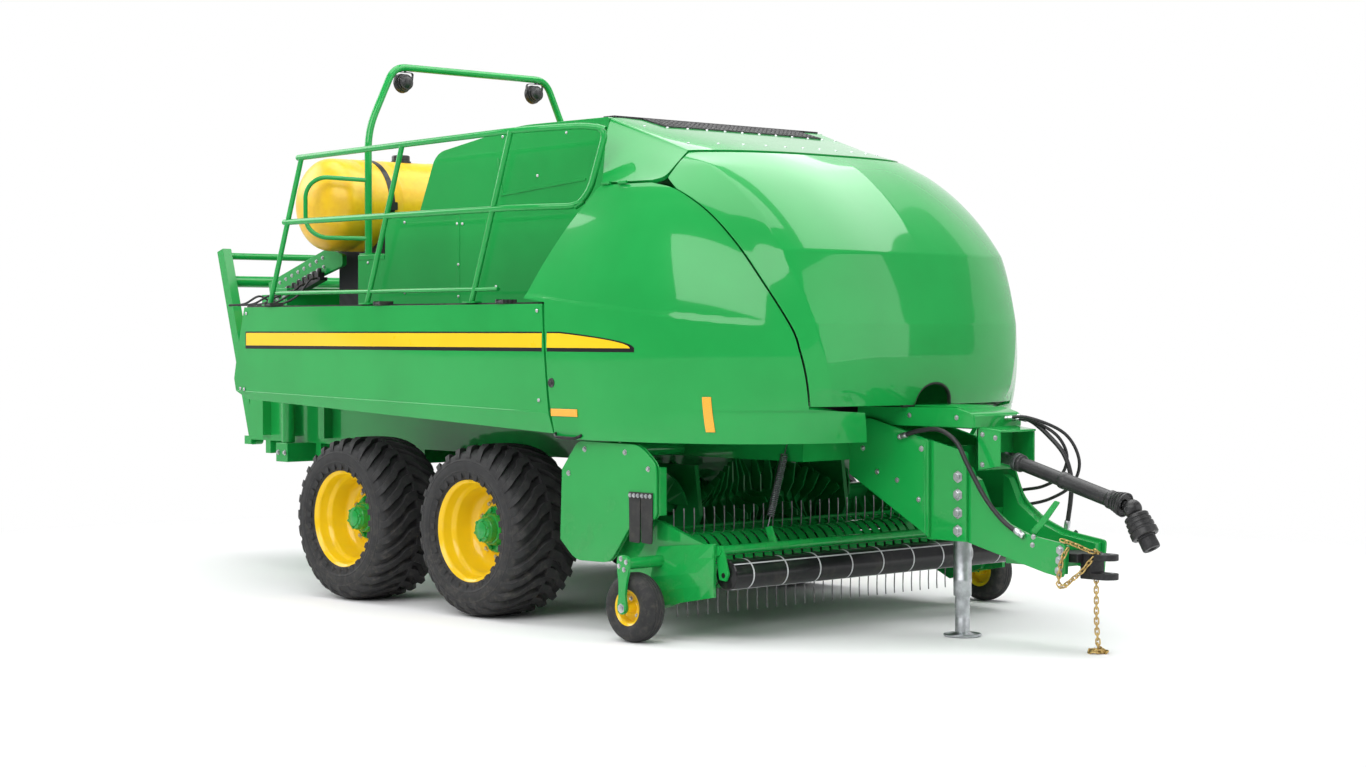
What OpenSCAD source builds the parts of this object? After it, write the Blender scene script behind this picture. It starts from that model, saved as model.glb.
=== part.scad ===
/* [Overall] */
// Distance from the tandem's middle forward to the middle of the overall length
mid_x = 556; // [400:1:800]
// Half width of the bale chamber inside
chamber_half = 600; // [400:10:700]
// Thickness of the chamber's walls
wall = 40; // [20:1:60]
// Top of the chamber floor above the ground
floor_z = 950; // [850:5:1050]
// Height of the chamber inside
chamber_h = 860; // [700:10:950]
// Rear end of the chamber behind the tandem's middle
chamber_rear = 2900; // [2500:10:3200]
// Radial clearance between a pin and its bore
fit = 0.05; // [0.02:0.01:0.1]

/* [Wheels] */
// Distance between the two tandem axles
axle_gap = 1284; // [1200:2:1400]
// Outside diameter of a tandem tyre over its lugs
tyre_d = 1020; // [980:5:1060]
// Width of a tandem tyre
tyre_w = 500; // [420:5:540]
// Outer face of the tandem tyres from the middle
track_half = 1464; // [1440:1:1500]
// Bead diameter of the rims
rim_d = 571.5; // [500:0.5:600]
// Height of a tyre lug
lug_h = 26; // [15:1:35]
// Number of lugs on each half of a tyre
lug_n = 20; // [12:1:26]
// Outside diameter of a gauge wheel
gauge_d = 380; // [340:5:420]
// Width of a gauge wheel
gauge_w = 150; // [120:5:170]
// Middle of a gauge wheel outside the pickup
gauge_out = 270; // [250:5:300]
// Gauge wheel axle ahead of the tandem's middle
gauge_x = 2140; // [2100:5:2180]

/* [Body] */
// Half width of the side panels
body_half = 1400; // [1300:5:1450]
// Thickness of the body panels
skin = 30; // [20:1:40]
// Height of the side panels' top edge
shield_top = 1840; // [1800:5:1880]
// Top of the roof
roof_z = 2930; // [2850:5:3000]
// Half width of the upper housing
housing_half = 900; // [850:5:950]
// Radius of the panels' hinge pins
hinge_r = 9; // [7:0.5:12]

/* [Pickup] */
// Reel axis ahead of the tandem's middle
reel_x = 2080; // [2060:5:2100]
// Reel axis above the ground
reel_z = 400; // [380:5:420]
// Radius of the tine tips
tine_r = 300; // [260:5:310]
// Number of tines in a row
tine_n = 30; // [16:2:34]
// Tine rows round the reel
tine_rows = 4; // [3:1:6]
// Half length of the pickup between its side plates
pickup_half = 1200; // [1100:10:1210]
// Rotor and pickup lift axis ahead of the tandem's middle
rotor_x = 1500; // [1480:5:1520]
// Rotor and pickup lift axis above the ground
rotor_z = 680; // [660:5:700]
// Radius of the rotor's tine discs
rotor_r = 250; // [220:5:270]
// Windguard roller axis ahead of the tandem's middle
roller_x = 2540; // [2520:5:2560]
// Windguard roller axis above the ground
roller_z = 370; // [360:5:380]
// Diameter of the windguard roller
roller_d = 165; // [140:5:180]

/* [Hitch] */
// Jack axis ahead of the tandem's middle
jack_x = 3205; // [3190:1:3230]
// Diameter of the jack's outer tube
jack_d = 100; // [80:1:120]
// Hitch pin ahead of the tandem's middle
pin_x = 4190; // [4150:5:4230]
// Height of the hitch
hitch_z = 450; // [400:5:500]
// Radius of the hitch pin's bore
pin_r = 21; // [16:0.5:26]
// Bore radius of the power take-off yoke
pto_r = 22.3; // [17:0.1:24]

/* [Hidden] */
$fn = 48;
wheel_y = track_half - tyre_w / 2;
axle_z = tyre_d / 2;
gauge_z = gauge_d / 2;
gauge_y = pickup_half + gauge_out;
// Guard plates outside the pickup, and rails on the platform edge
guard_y = pickup_half + 100;
guard_t = 30;
flap_t = 10;
edge_in = 30;
rail_y = body_half - skin - edge_in;
chamber_top = floor_z + chamber_h;
rim_r = rim_d / 2;
carcass_r = tyre_d / 2 - lug_h;
jack_r = jack_d / 2;
spindle_r = 40;
beam_in = 740;
beam_w = 180;
seam_gap = 0.6;
tine_pitch = 2 * (pickup_half - 30) / tine_n;
band_w = tine_pitch - 22;
strip_d = 24;
strip_r = tine_r + strip_d;
// Each end of a stripper band: its angle on the round, and the angle of the cross rod behind the tines
BAND_ENDS = [[146, 150], [215, 172]];
// Master surface of the front body: plan is a rounded nose, sides lean in at the top
nose_x = 1400;
nose_len = 1620;
nose_h = 1345;
nose_z = 1550;
side_z = 1500;
side_h = 1450;
plan_n = 2.9;
side_n = 2.6;
// Hinge lines of the panels and of the chute
door_y = side_b(2512) + 4;
door_z = 2521;
shield_y = body_half + 4;
shield_z = shield_top + 14;
DOOR_HINGES = [1550, 1690];
SHIELD_HINGES = [-1500, -300, 900];
hood_top = 2690;
hood_turn = 58.5;
hood_corner = body_point(hood_turn, hood_top);
hood_x = hood_corner[0] + 14.6;
hood_y = 14.2 - hood_corner[1];
hood_z = hood_top + 12;
chute_x = -2945;
chute_z = 905;
// Stepped rear of the upper housing: height and X of its two steps
step_z = 2184;
step_x = -1212;
shelf_z = 2445;
shelf_x = -914;
// Seam between door and hood: height, angle from the middle
seam = [[1060, 16], [1240, 18], [1262, 30], [1440, 31], [1580, 32.2], [1700, 33.2], [1940, 38.5],
        [2170, 43.9], [2350, 50.4], [2470, 58.5], [2512, 66]];
hood_edge = [[1262, 30], [1440, 31], [1580, 32.2], [1700, 33.2], [1940, 38.5], [2170, 43.9],
             [2350, 50.4], [2470, 58.5], [2540, 62], [hood_top, hood_turn]];
// Rear edge of the door: height, X
door_rear = [[1060, 1365], [1300, 1330], [1850, 1275], [1872, 1085], [2180, 1290], [2512, 1500]];
DOOR_Z = [1075, 1160, 1240, 1262, 1440, 1580, 1700, 1850, 1872, 1940, 2060, 2170, 2270, 2350, 2420, 2470, 2512];
HOOD_Z = [1275, 1360, 1440, 1580, 1700, 1820, 1940, 2060, 2170, 2270, 2350, 2420, 2470, 2540, 2620, hood_top];

// Ball at a tube's bend, as a share of the tube's diameter
bend_ball = 1.12;
// Guard rail's line in X and Z before its front is turned in, the posts' feet, and half of the lamp hoop's line in Y and Z
turn_x = 1000;
turn_in = 0.313;
turn_back = 1.04;
rail_rear = [-1250, 2800];
RAIL_LOOP = [[-172, 2857], [-82, 2850], [-22, 2815], [0, 2750], [-22, 2660], [-122, 2480], [-172, 2425], [-242, 2400]];
front_right = 1712;
front_left = 945;
POSTS_RIGHT = [-1580, -500, 550];
POSTS_LEFT = [-1580, -500, 300];
post_d = 34;
post_lean = 370;
rail_d = 38;
toe_z = 1930;
toe_d = 26;
hoop_x = -1150;
hoop_d = 48;
hoop_half = housing_half - 40;
lamp_y = hoop_half - 300;
HOOP_LINE = [[hoop_half, step_z + 0.3], [hoop_half, 2980], [hoop_half - 40, 3140], [hoop_half - 160, 3370], [hoop_half - 210, 3415], [hoop_half - 270, 3430]];

function nose_a(z) = nose_len * sqrt(max(0.0001, 1 - pow((z - nose_z) / nose_h, 2)));
function side_b(z) = body_half * pow(max(0.0001, 1 - pow(abs(z - side_z) / side_h, side_n)), 1 / side_n);
function plan_r(t, z) = 1 / pow(pow(abs(cos(t)) / nose_a(z), plan_n) + pow(abs(sin(t)) / side_b(z), plan_n), 1 / plan_n);
// Point of the master surface: t is the angle from the nose, over 90 the straight flank 20 mm a degree
function body_point(t, z) = t > 90 ? [nose_x - (t - 90) * 20, -side_b(z), z]
    : [nose_x + plan_r(t, z) * cos(t), -plan_r(t, z) * sin(t), z];
function angle_at(x, z, lo = 0, hi = 130, i = 0) = i > 22 ? (lo + hi) / 2
    : body_point((lo + hi) / 2, z)[0] > x ? angle_at(x, z, (lo + hi) / 2, hi, i + 1)
    : angle_at(x, z, lo, (lo + hi) / 2, i + 1);
function unit(v) = v / norm(v);
function grid_normal(g, i, j) = let (r = len(g) - 1, c = len(g[0]) - 1)
    unit(cross(g[i][min(j + 1, c)] - g[i][max(j - 1, 0)], g[min(i + 1, r)][j] - g[max(i - 1, 0)][j]));

module at_middle() translate([-mid_x, 0, 0]) children();

module both_sides() {
    children();
    mirror([0, 1, 0]) children();
}

module block(x, y, z) translate([x[0], y[0], z[0]]) cube([x[1] - x[0], y[1] - y[0], z[1] - z[0]]);

module rod(p, q, d) {
    v = q - p;
    translate(p) rotate([0, acos(v[2] / norm(v)), atan2(v[1], v[0])]) cylinder(d = d, h = norm(v));
}

// Tube along a line of points: straight lengths, with a ball at each bend that takes up the mitre
module bent_tube(pts, d) {
    for (i = [0 : len(pts) - 2]) rod(pts[i], pts[i + 1], d);
    for (i = [1 : 1 : len(pts) - 2]) translate(pts[i]) sphere(d = bend_ball * d);
}

// Tube along a line of points: straight lengths that each run a little past the bend
module lapped_tube(pts, d) for (i = [0 : len(pts) - 2]) let (v = unit(pts[i + 1] - pts[i]))
    rod(pts[i] - (i > 0 ? 0.3 * d : 0) * v, pts[i + 1] + (i < len(pts) - 2 ? 0.3 * d : 0) * v, d);

module y_rod(x, z, y0, y1, r) translate([x, y0, z]) rotate([-90, 0, 0]) cylinder(r = r, h = y1 - y0);

module x_rod(x0, x1, y, z, r) translate([x0, y, z]) rotate([0, 90, 0]) cylinder(r = r, h = x1 - x0);

// Side outline in X and Z, drawn at the named Y range
module side_plate(pts, y0, y1) translate([0, y1, 0]) rotate([90, 0, 0]) linear_extrude(y1 - y0) polygon(pts);

// Panel of even thickness on a grid of points; the outside is the side the grid's normal points to
module panel(g, t) {
    r = len(g);
    c = len(g[0]);
    n = r * c;
    outer = [for (i = [0 : r - 1], j = [0 : c - 1]) g[i][j]];
    inner = [for (i = [0 : r - 1], j = [0 : c - 1]) g[i][j] - t * grid_normal(g, i, j)];
    quads = concat(
        [for (i = [0 : r - 2], j = [0 : c - 2]) let (a = i * c + j) [a, a + c, a + c + 1, a + 1]],
        [for (i = [0 : r - 2], j = [0 : c - 2]) let (a = n + i * c + j) [a, a + 1, a + c + 1, a + c]],
        [for (j = [0 : c - 2]) [j, j + 1, n + j + 1, n + j]],
        [for (j = [0 : c - 2]) let (a = (r - 1) * c + j) [a + 1, a, n + a, n + a + 1]],
        [for (i = [0 : r - 2]) let (a = i * c) [a + c, a, n + a, n + a + c]],
        [for (i = [0 : r - 2]) let (a = i * c + c - 1) [a, a + c, n + a + c, n + a]]);
    polyhedron(concat(outer, inner), [for (q = quads, k = [1, 2]) [q[0], q[k], q[k + 1]]]);
}

// Tandem wheels
module tyre_lug(s, a0) {
    st = [[0.02, 0], [0.5, 10], [0.93, 14]];
    w = 4.4;
    pts = [for (p = st, k = [0 : 3]) let (r = k < 2 ? carcass_r - 22 - 30 * pow(p[0], 4) : tyre_d / 2 - 22 * pow(p[0], 4),
        a = a0 + p[1] + (k == 0 || k == 3 ? -w / 2 : w / 2)) [r * cos(a), s * p[0] * tyre_w / 2, r * sin(a)]];
    f = concat([for (i = [0 : 1], k = [0 : 3]) [4 * i + k, 4 * i + (k + 1) % 4, 4 * i + 4 + (k + 1) % 4, 4 * i + 4 + k]],
        [[3, 2, 1, 0], [8, 9, 10, 11]]);
    polyhedron(pts, [for (q = f, k = [1, 2]) s > 0 ? [q[0], q[k + 1], q[k]] : [q[0], q[k], q[k + 1]]]);
}

module tyre(s, x) color("#1b1b1d") translate([x, s * wheel_y, axle_z]) {
    h = tyre_w / 2;
    rotate([90, 0, 0]) rotate_extrude($fn = 96) polygon([[rim_r + 0.3, -h + 60], [rim_r + 40, -h + 18], [rim_r + 90, -h],
        [carcass_r - 75, -h + 4], [carcass_r - 28, -h + 26], [carcass_r - 4, -h + 110], [carcass_r, 0],
        [carcass_r - 4, h - 110], [carcass_r - 28, h - 26], [carcass_r - 75, h - 4],
        [rim_r + 90, h], [rim_r + 40, h - 18], [rim_r + 0.3, h - 60]]);
    for (k = [0 : lug_n - 1]) {
        tyre_lug(1, k * 360 / lug_n);
        tyre_lug(-1, (k + 0.5) * 360 / lug_n);
    }
}

module wheel(s, x) color("#e8b416") translate([x, s * wheel_y, axle_z]) rotate([0, 0, s > 0 ? 0 : 180]) {
    h = tyre_w / 2;
    rotate([90, 0, 0]) rotate_extrude($fn = 64) polygon([[spindle_r + fit, 120], [75, 120], [75, 40], [140, 40], [190, 70],
        [rim_r - 16, 30], [rim_r - 16, h - 50], [rim_r - 2, h - 50], [rim_r + 14, h - 36], [rim_r + 14, h - 43], [rim_r, h - 58],
        [rim_r, 58 - h], [rim_r + 14, 43 - h], [rim_r + 14, 36 - h], [rim_r - 2, 50 - h], [rim_r - 16, 50 - h], [rim_r - 16, 0],
        [190, 40], [150, 10], [130, -60], [110, -110], [70, -125], [70, -140], [0, -140], [0, -105], [spindle_r + fit, -105]]);
}

// Walking beams with their wheel spindles
module bogies() color("#2f3234") both_sides() {
    side_plate([[-axle_gap / 2 - 110, axle_z - 60], [-axle_gap / 2 + 60, axle_z - 110], [axle_gap / 2 - 60, axle_z - 110],
        [axle_gap / 2 + 110, axle_z - 60], [axle_gap / 2 + 110, axle_z + 60], [220, axle_z + 150], [-220, axle_z + 150],
        [-axle_gap / 2 - 110, axle_z + 60]], beam_in, beam_in + beam_w);
    for (x = [-1, 1]) {
        y_rod(x * axle_gap / 2, axle_z, beam_in + beam_w - 1, wheel_y - 130, 60);
        y_rod(x * axle_gap / 2, axle_z, beam_in + beam_w - 1, wheel_y + 98, spindle_r);
    }
}

module axle() color("#2f3234") {
    y_rod(0, axle_z, -beam_in, beam_in, 75);
    both_sides() difference() {
        side_plate([[-260, floor_z - wall], [-120, axle_z - 60], [120, axle_z - 60], [260, floor_z - wall]], 560, 600);
        y_rod(0, axle_z, 500, 700, 60);
    }
}

// Bale chamber
module chamber_floor() color("#2a9b4b") {
    block([-chamber_rear, 1200], [-chamber_half - wall, chamber_half + wall], [floor_z - wall, floor_z]);
    for (x = [-2700, -2080, -1500, -900]) block([x, x + 60], [-chamber_half - wall, chamber_half + wall], [floor_z - wall - 90, floor_z - wall]);
    both_sides() {
        block([chute_x - 30, 10 - chamber_rear], [598, 638], [chute_z - 30, chute_z + 30]);
        y_rod(chute_x, chute_z, 530, 600, 15);
    }
}

module chamber_side() {
    block([-chamber_rear, 1200], [chamber_half, chamber_half + wall], [floor_z, chamber_top]);
    for (x = [-2700, -2400, -1950]) block([x, x + 70], [chamber_half + wall - 1, chamber_half + wall + 70], [floor_z, chamber_top]);
}

module chamber_side_left() color("#2a9b4b") chamber_side();

module chamber_side_right() color("#2a9b4b") mirror([0, 1, 0]) chamber_side();

module chamber_top() color("#2a9b4b") {
    block([-chamber_rear, 1200], [-chamber_half - wall, chamber_half + wall], [chamber_top, chamber_top + wall]);
    for (x = [-2740, -2480]) block([x, x + 80], [-chamber_half - wall, chamber_half + wall], [chamber_top + wall, chamber_top + wall + 90]);
}

// Density press round the chamber's rear: cross beams and upright cylinders
module press_frame() color("#238a41") {
    block([-2330, -2190], [-800, 800], [chamber_top + wall, chamber_top + wall + 130]);
    block([-2330, -2190], [-800, 800], [floor_z - wall - 130, floor_z - wall]);
    both_sides() {
        side_plate([[-2598, 2024], [-1867, 2253], [-1700, 2200], [-1700, 2128], [-2574, 1897]],
            chamber_half + wall + 5, chamber_half + wall + 40);
        translate([-2260, 745, floor_z - wall]) cylinder(d = 90, h = 560);
        translate([-2260, 745, floor_z - wall + 560]) cylinder(d = 50, h = chamber_h + 2 * wall - 560);
    }
}

// Front frame carrying the tongue, the gearbox and the pickup's bearings
module front_frame() color("#2a9b4b") {
    both_sides() {
        block([1200, 2560], [480, 600], [960, 1160]);
        block([1000, 1200], [480, 600], [floor_z - wall - 60, floor_z - wall]);
        y_rod(1560, 1010, 595, guard_y, 45);
        difference() {
            side_plate([[1420, 1090], [1700, 1090], [1620, 620], [1560, 560], [1440, 560], [1380, 620]], pickup_half - 25, pickup_half - 5);
            y_rod(rotor_x, rotor_z, pickup_half - 100, pickup_half + 100, 30 + fit);
        }
        difference() {
            y_rod(rotor_x, rotor_z, pickup_half - 10, pickup_half + 40, 55);
            y_rod(rotor_x, rotor_z, pickup_half - 100, pickup_half + 100, 30 + fit);
        }
    }
    block([2440, 2560], [-481, 481], [960, 1160]);
    block([1200, 1300], [-481, 481], [960, 1160]);
}

module feed_duct() color("#1f7a3a") {
    both_sides() difference() {
        side_plate([[900, floor_z - wall], [1720, floor_z - wall], [1760, 620], [1640, 400], [1400, 350], [1150, 450], [1000, 650]], 602, 632);
        y_rod(rotor_x, rotor_z, 500, 700, 75);
    }
    translate([rotor_x, 602.5, rotor_z]) rotate([90, 0, 0]) linear_extrude(1205) intersection() {
        difference() {
            circle(r = rotor_r + 50);
            circle(r = rotor_r + 25);
        }
        polygon([[0, 0], [120, -400], [-500, -400], [-500, 60]]);
    }
}

module auger(s) {
    n = 22;
    len = pickup_half - 740;
    pts = [for (i = [0 : n], k = [0 : 3]) let (a = i * 470 / n, y = 680 + i * len / n, r = k < 2 ? 45 : 215,
        t = (k == 0 || k == 3) ? -6 : 6) [rotor_x + r * cos(a), s * (y + t), rotor_z + r * sin(a)]];
    f = concat([for (i = [0 : n - 1], k = [0 : 3]) [4 * i + k, 4 * i + (k + 1) % 4, 4 * i + 4 + (k + 1) % 4, 4 * i + 4 + k]],
        [[3, 2, 1, 0], [4 * n, 4 * n + 1, 4 * n + 2, 4 * n + 3]]);
    polyhedron(pts, [for (q = f, k = [1, 2]) s > 0 ? [q[0], q[k], q[k + 1]] : [q[0], q[k + 1], q[k]]]);
}

module feed_rotor() color("#1f7a3a") {
    y_rod(rotor_x, rotor_z, 30 - pickup_half, pickup_half - 30, 55);
    y_rod(rotor_x, rotor_z, 5 - pickup_half, pickup_half - 5, 30);
    for (k = [-8 : 8]) translate([rotor_x, k * 70 + 5, rotor_z]) rotate([90, abs(k) * 11, 0]) linear_extrude(10)
        for (a = [0 : 90 : 270]) rotate(a) polygon([[-52, -40], [40, -52], [150, -30], [rotor_r, 40], [rotor_r - 22, 66], [120, 40], [40, 52]]);
    auger(1);
    auger(-1);
}

module guard_plates() color("#2a9b4b") both_sides() {
    side_plate([[1500, 1068], [2016, 1062], [2154, 956], [2154, 660], [1950, 620], [1774, 395], [1475, 391], [1344, 502],
        [1360, 900]], guard_y, guard_y + guard_t);
    block([2100, 2154], [guard_y - 50, guard_y + 1], [676, 940]);
}

module flaps() color("#151515") both_sides() for (x = [1940, 2038])
    block([x, x + 94], [guard_y + guard_t, guard_y + guard_t + flap_t], [520, 800]);

// Pickup
module pickup_frame() color("#2a9b4b") {
    both_sides() {
        difference() {
            side_plate([[1420, 640], [1440, 750], [1560, 760], [2080, 640], [2330, 560], [2480, 520], [2500, 470], [2330, 230], [2080, 150],
                [1900, 230], [1560, 590]], pickup_half + 4, pickup_half + 30);
            y_rod(rotor_x, rotor_z, pickup_half - 100, pickup_half + 100, 55 + fit);
            y_rod(reel_x, reel_z, pickup_half - 100, pickup_half + 100, 25 + fit);
        }
        panel([for (i = [0 : 4]) [for (j = [0 : 4]) let (u = j / 4, v = i / 4)
            [2110 + 390 * u, -pickup_half - 28 - 105 * (1 - u) * (1 - pow(v - 0.4, 2)) * sin(40 + 100 * v), 175 + (330 - 40 * u) * v + 75 * u]]], 22);
        y_rod(2150, 430, pickup_half + 29, gauge_y + 85, 32);
    }
    for (b = BAND_ENDS) translate([reel_x + strip_r * cos(b[1]), 0, reel_z + strip_r * sin(b[1])])
        y_rod(0, 0, -pickup_half - 5, pickup_half + 5, strip_d / 2);
    for (k = [0 : tine_n - 2]) translate([reel_x, (k - tine_n / 2 + 1) * tine_pitch + band_w / 2, reel_z]) rotate([90, 0, 0]) linear_extrude(band_w)
        {
            difference() {
                circle(r = 163);
                circle(r = 157);
                polygon([[0, 0], [-400 * cos(32), 400 * sin(32)], [-400, -100 * sin(37)], [-400 * cos(37), -400 * sin(37)]]);
            }
            for (b = BAND_ENDS) let (p = 159 * [cos(b[0]), sin(b[0])], q = strip_r * [cos(b[1]), sin(b[1])], n = 3 * unit([p[1] - q[1], q[0] - p[0]]))
                polygon([p - n, q - n, q + n, p + n]);
        }
}

module pickup_reel() color("#33383a") {
    y_rod(reel_x, reel_z, -pickup_half - 25, pickup_half + 25, 25);
    y_rod(reel_x, reel_z, -pickup_half, pickup_half, 60);
    for (r = [0 : tine_rows - 1]) translate([reel_x, 0, reel_z]) rotate([0, r * 360 / tine_rows, 0]) {
        y_rod(0, -120, -pickup_half + 10, pickup_half - 10, 14);
        for (s = [-1, 0, 1]) translate([-8, s * (pickup_half - 40) - 4, -122]) cube([16, 8, 122]);
        for (k = [0 : tine_n - 1]) translate([0, (k - tine_n / 2 + 0.5) * tine_pitch, -tine_r]) cylinder(d = 8, h = tine_r - 115, $fn = 14);
    }
}

module windguard() color("#2a9b4b") {
    y_rod(2500, 500, -pickup_half - 3.7, pickup_half + 3.7, 27);
    both_sides() {
        difference() {
            side_plate([[2470, 530], [2530, 530], [2580, 380], [2560, 340], [2510, 345]], pickup_half - 18, pickup_half - 6);
            y_rod(roller_x, roller_z, pickup_half - 100, pickup_half + 100, 15 + fit);
        }
        side_plate([[2440, 600], [2480, 610], [2520, 520], [2480, 500]], 760, 775);
    }
}

module windguard_roller() color("#17181a") {
    y_rod(roller_x, roller_z, -pickup_half + 26, pickup_half - 26, roller_d / 2);
    y_rod(roller_x, roller_z, -pickup_half + 7, pickup_half - 7, 15);
}

module float_spring() color("#8d9296") both_sides() {
    rod([2450, 767.5, 622], [2440, 640, 1015], 34);
    rod([2455, 767.5, 604.65], [2450, 767.5, 640], 12);
    rod([2441, 645, 1000], [2440, 605.1, 1051], 12);
}

module gauge_arms() color("#2a9b4b") both_sides() {
    side_plate([[2100, 470], [2190, 470], [2190, 400], [gauge_x + 30, 170], [gauge_x - 30, 170], [2100, 390]], gauge_y + 85, gauge_y + 105);
    y_rod(gauge_x, gauge_z, gauge_y - 60, gauge_y + 86, 12);
}

module gauge_tyre(s) color("#1b1b1d") translate([gauge_x, s * gauge_y, gauge_z]) rotate([90, 0, 0]) rotate_extrude()
    polygon([[90.3, -43.5], [110, -66], [140, -75], [172, -62], [gauge_z, -25], [gauge_z, 25], [172, 62], [140, 75], [110, 66], [90.3, 43.5]]);

module gauge_rim(s) color("#e8b416") translate([gauge_x, s * gauge_y, gauge_z]) rotate([0, 0, s > 0 ? 180 : 0]) rotate([90, 0, 0]) rotate_extrude()
    polygon([[12 + fit, -64], [30, -64], [30, -10], [78, -10], [78, -50], [98, -60], [98, -57], [90, -44], [90, 44], [98, 57], [98, 60], [78, 50], [78, 2], [30, 2], [30, 70], [12 + fit, 70]]);

// Tongue, hitch and jack
module tongue() color("#2a9b4b") {
    both_sides() {
        side_plate([[2560, 1150], [2700, 1205], [3150, 1090], [3150, 560], [2560, 880]], 200, 225);
        side_plate([[3120, 1095], [3400, 1030], [3400, 545], [3120, 545]], 180, 201);
        side_plate([[3380, 960], [3420, 930], [3500, 770], [3640, 670], [3800, 610], [4020, 580], [4060, 570], [4040, 395], [3920, 415], [3380, 545]], 110, 181);
    }
    block([2560, 2600], [-201, 201], [900, 1140]);
    block([3120, 3140], [-181, 181], [560, 1050]);
    block([3380, 3400], [-181, 181], [545, 720]);
    block([3600, 3960], [-111, 111], [440, 470]);
    difference() {
        block([3120, 3395], [-181, 181], [545, 580]);
        translate([jack_x, 0, 500]) cylinder(r = jack_r + 0.3, h = 200);
    }
}

module hitch_clevis() color("#222426") difference() {
    union() {
        block([3900, 4080], [-109.7, 109.7], [471, 520]);
        block([4060, 4130], [-60, 60], [385, 520]);
        for (z = [385, 485]) {
            block([4120, pin_x], [-60, 60], [z, z + 35]);
            translate([pin_x, 0, z]) cylinder(r = 60, h = 35);
        }
    }
    translate([pin_x, 0, 300]) cylinder(r = pin_r, h = 300);
}

module safety_chain() color("#c8a24a") {
    rod([4150, -40, 384.4], [4160, -46, 20], 16);
    translate([4160, -46, 0.5]) cylinder(r = 70, h = 40);
}

module jack_tube() color("#a9adb0") translate([jack_x, 0, 0]) difference() {
    translate([0, 0, 225]) cylinder(r = jack_r, h = 700);
    translate([0, 0, 200]) cylinder(r = jack_r - 8, h = 700);
}

module jack_leg() color("#8d9194") translate([jack_x, 0, 0]) {
    translate([0, 0, 15]) cylinder(r = jack_r - 9, h = 420);
    cylinder(r1 = 105, r2 = 98, h = 18);
}

// Power take-off
module pto_shaft() color("#17181a") {
    both_sides() difference() {
        side_plate([[3485, 975], [3485, 1025], [3560, 1015], [3600, 1000], [3590, 955]], 32, 44);
        y_rod(3510, 1000, 0, 60, 15 + fit);
    }
    rod([3580, 0, 981], [4250, 0, 800], 96);
    rod([3900, 0, 894.5], [4250, 0, 800], 108);
    rod([4230, 0, 805.5], [4310, 0, 784], 132);
    rod([4300, 0, 786], [4350, 0, 765], 44);
    y_rod(4350, 765, -48, 48, 14);
}

module pto_yoke() color("#17181a") {
    both_sides() difference() {
        side_plate([[4332, 770], [4345, 785], [4365, 778], [4410, 700], [4370, 670]], 30, 46);
        y_rod(4350, 765, 0, 60, 14 + fit);
    }
    rod([4385, 0, 700], [4440, 0, 616], 150);
    difference() {
        rod([4435, 0, 624], [4475, 0, 563], 96);
        rod([4445, 0, 608.75], [4490, 0, 540.125], 2 * pto_r);
    }
}

module pto_holder() color("#2a9b4b") side_plate([[3780, 617.7], [3800, 610.2], [3830, 606.1], [3960, 700], [3990, 790],
    [3960, 795], [3930, 715]], -150, -110);

module gearbox_cover() color("#2a9b4b") {
    block([2600, 3450], [-200, 200], [1160, 1268]);
    difference() {
        block([3430, 3590], [-150, 150], [930, 1170]);
        block([3442, 3600], [-135, 135], [900, 1145]);
    }
    x_rod(3435, 3515, 0, 1000, 26);
    y_rod(3510, 1000, -46, 46, 15);
}

module gearbox_block() color("#3a3d3f") block([1500, 2440], [-420, 420], [1160, 1900]);

module hose_near() color("#141414") lapped_tube([[2950, -240, 1100], [3250, -250, 1150], [3430, -250, 1000], [3560, -230, 800],
    [3790, -194.2, 600]], 26);

module hose_far() color("#141414") bent_tube([[3457, 170, 1215], [3620, 190, 1130], [3740, 190, 1050], [3800, 192, 950],
    [3810, 194, 850], [3790, 194.2, 740], [3770, 194.2, 590]], 26);

// Body panels
function panel_row(z, t0, t1, n) = [for (j = [0 : n]) body_point(t0 + (t1 - t0) * j / n, z)];

module front_door() {
    g = [for (z = DOOR_Z) panel_row(z, angle_at(lookup(z, door_rear), z), lookup(z, seam) + seam_gap, 20)];
    difference() {
        union() {
            panel(g, skin);
            for (x = DOOR_HINGES) {
                x_rod(x - 18, x + 18, -door_y, door_z, hinge_r + 8);
                block([x - 18, x + 18], [-door_y - 4, 35 - door_y], [door_z - 40, door_z - 4]);
            }
        }
        for (x = DOOR_HINGES) x_rod(x - 60, x + 60, -door_y, door_z, hinge_r + fit);
    }
}

module front_door_right() color("#2a9b4b") front_door();

module front_door_left() color("#2a9b4b") mirror([0, 1, 0]) front_door();

module hood() color("#2a9b4b") difference() {
    union() {
        panel([for (z = HOOD_Z) let (t = lookup(z, hood_edge)) panel_row(z, t, -t, 28)], skin);
        both_sides() {
            y_rod(hood_x, hood_z, hood_y - 13, hood_y + 13, hinge_r + 9);
            block([hood_x - 4, hood_x + 40], [hood_y - 17, hood_y + 11], [hood_z - 40, hood_z - 6]);
        }
    }
    both_sides() y_rod(hood_x, hood_z, hood_y - 60, hood_y + 60, hinge_r + fit);
}

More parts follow.
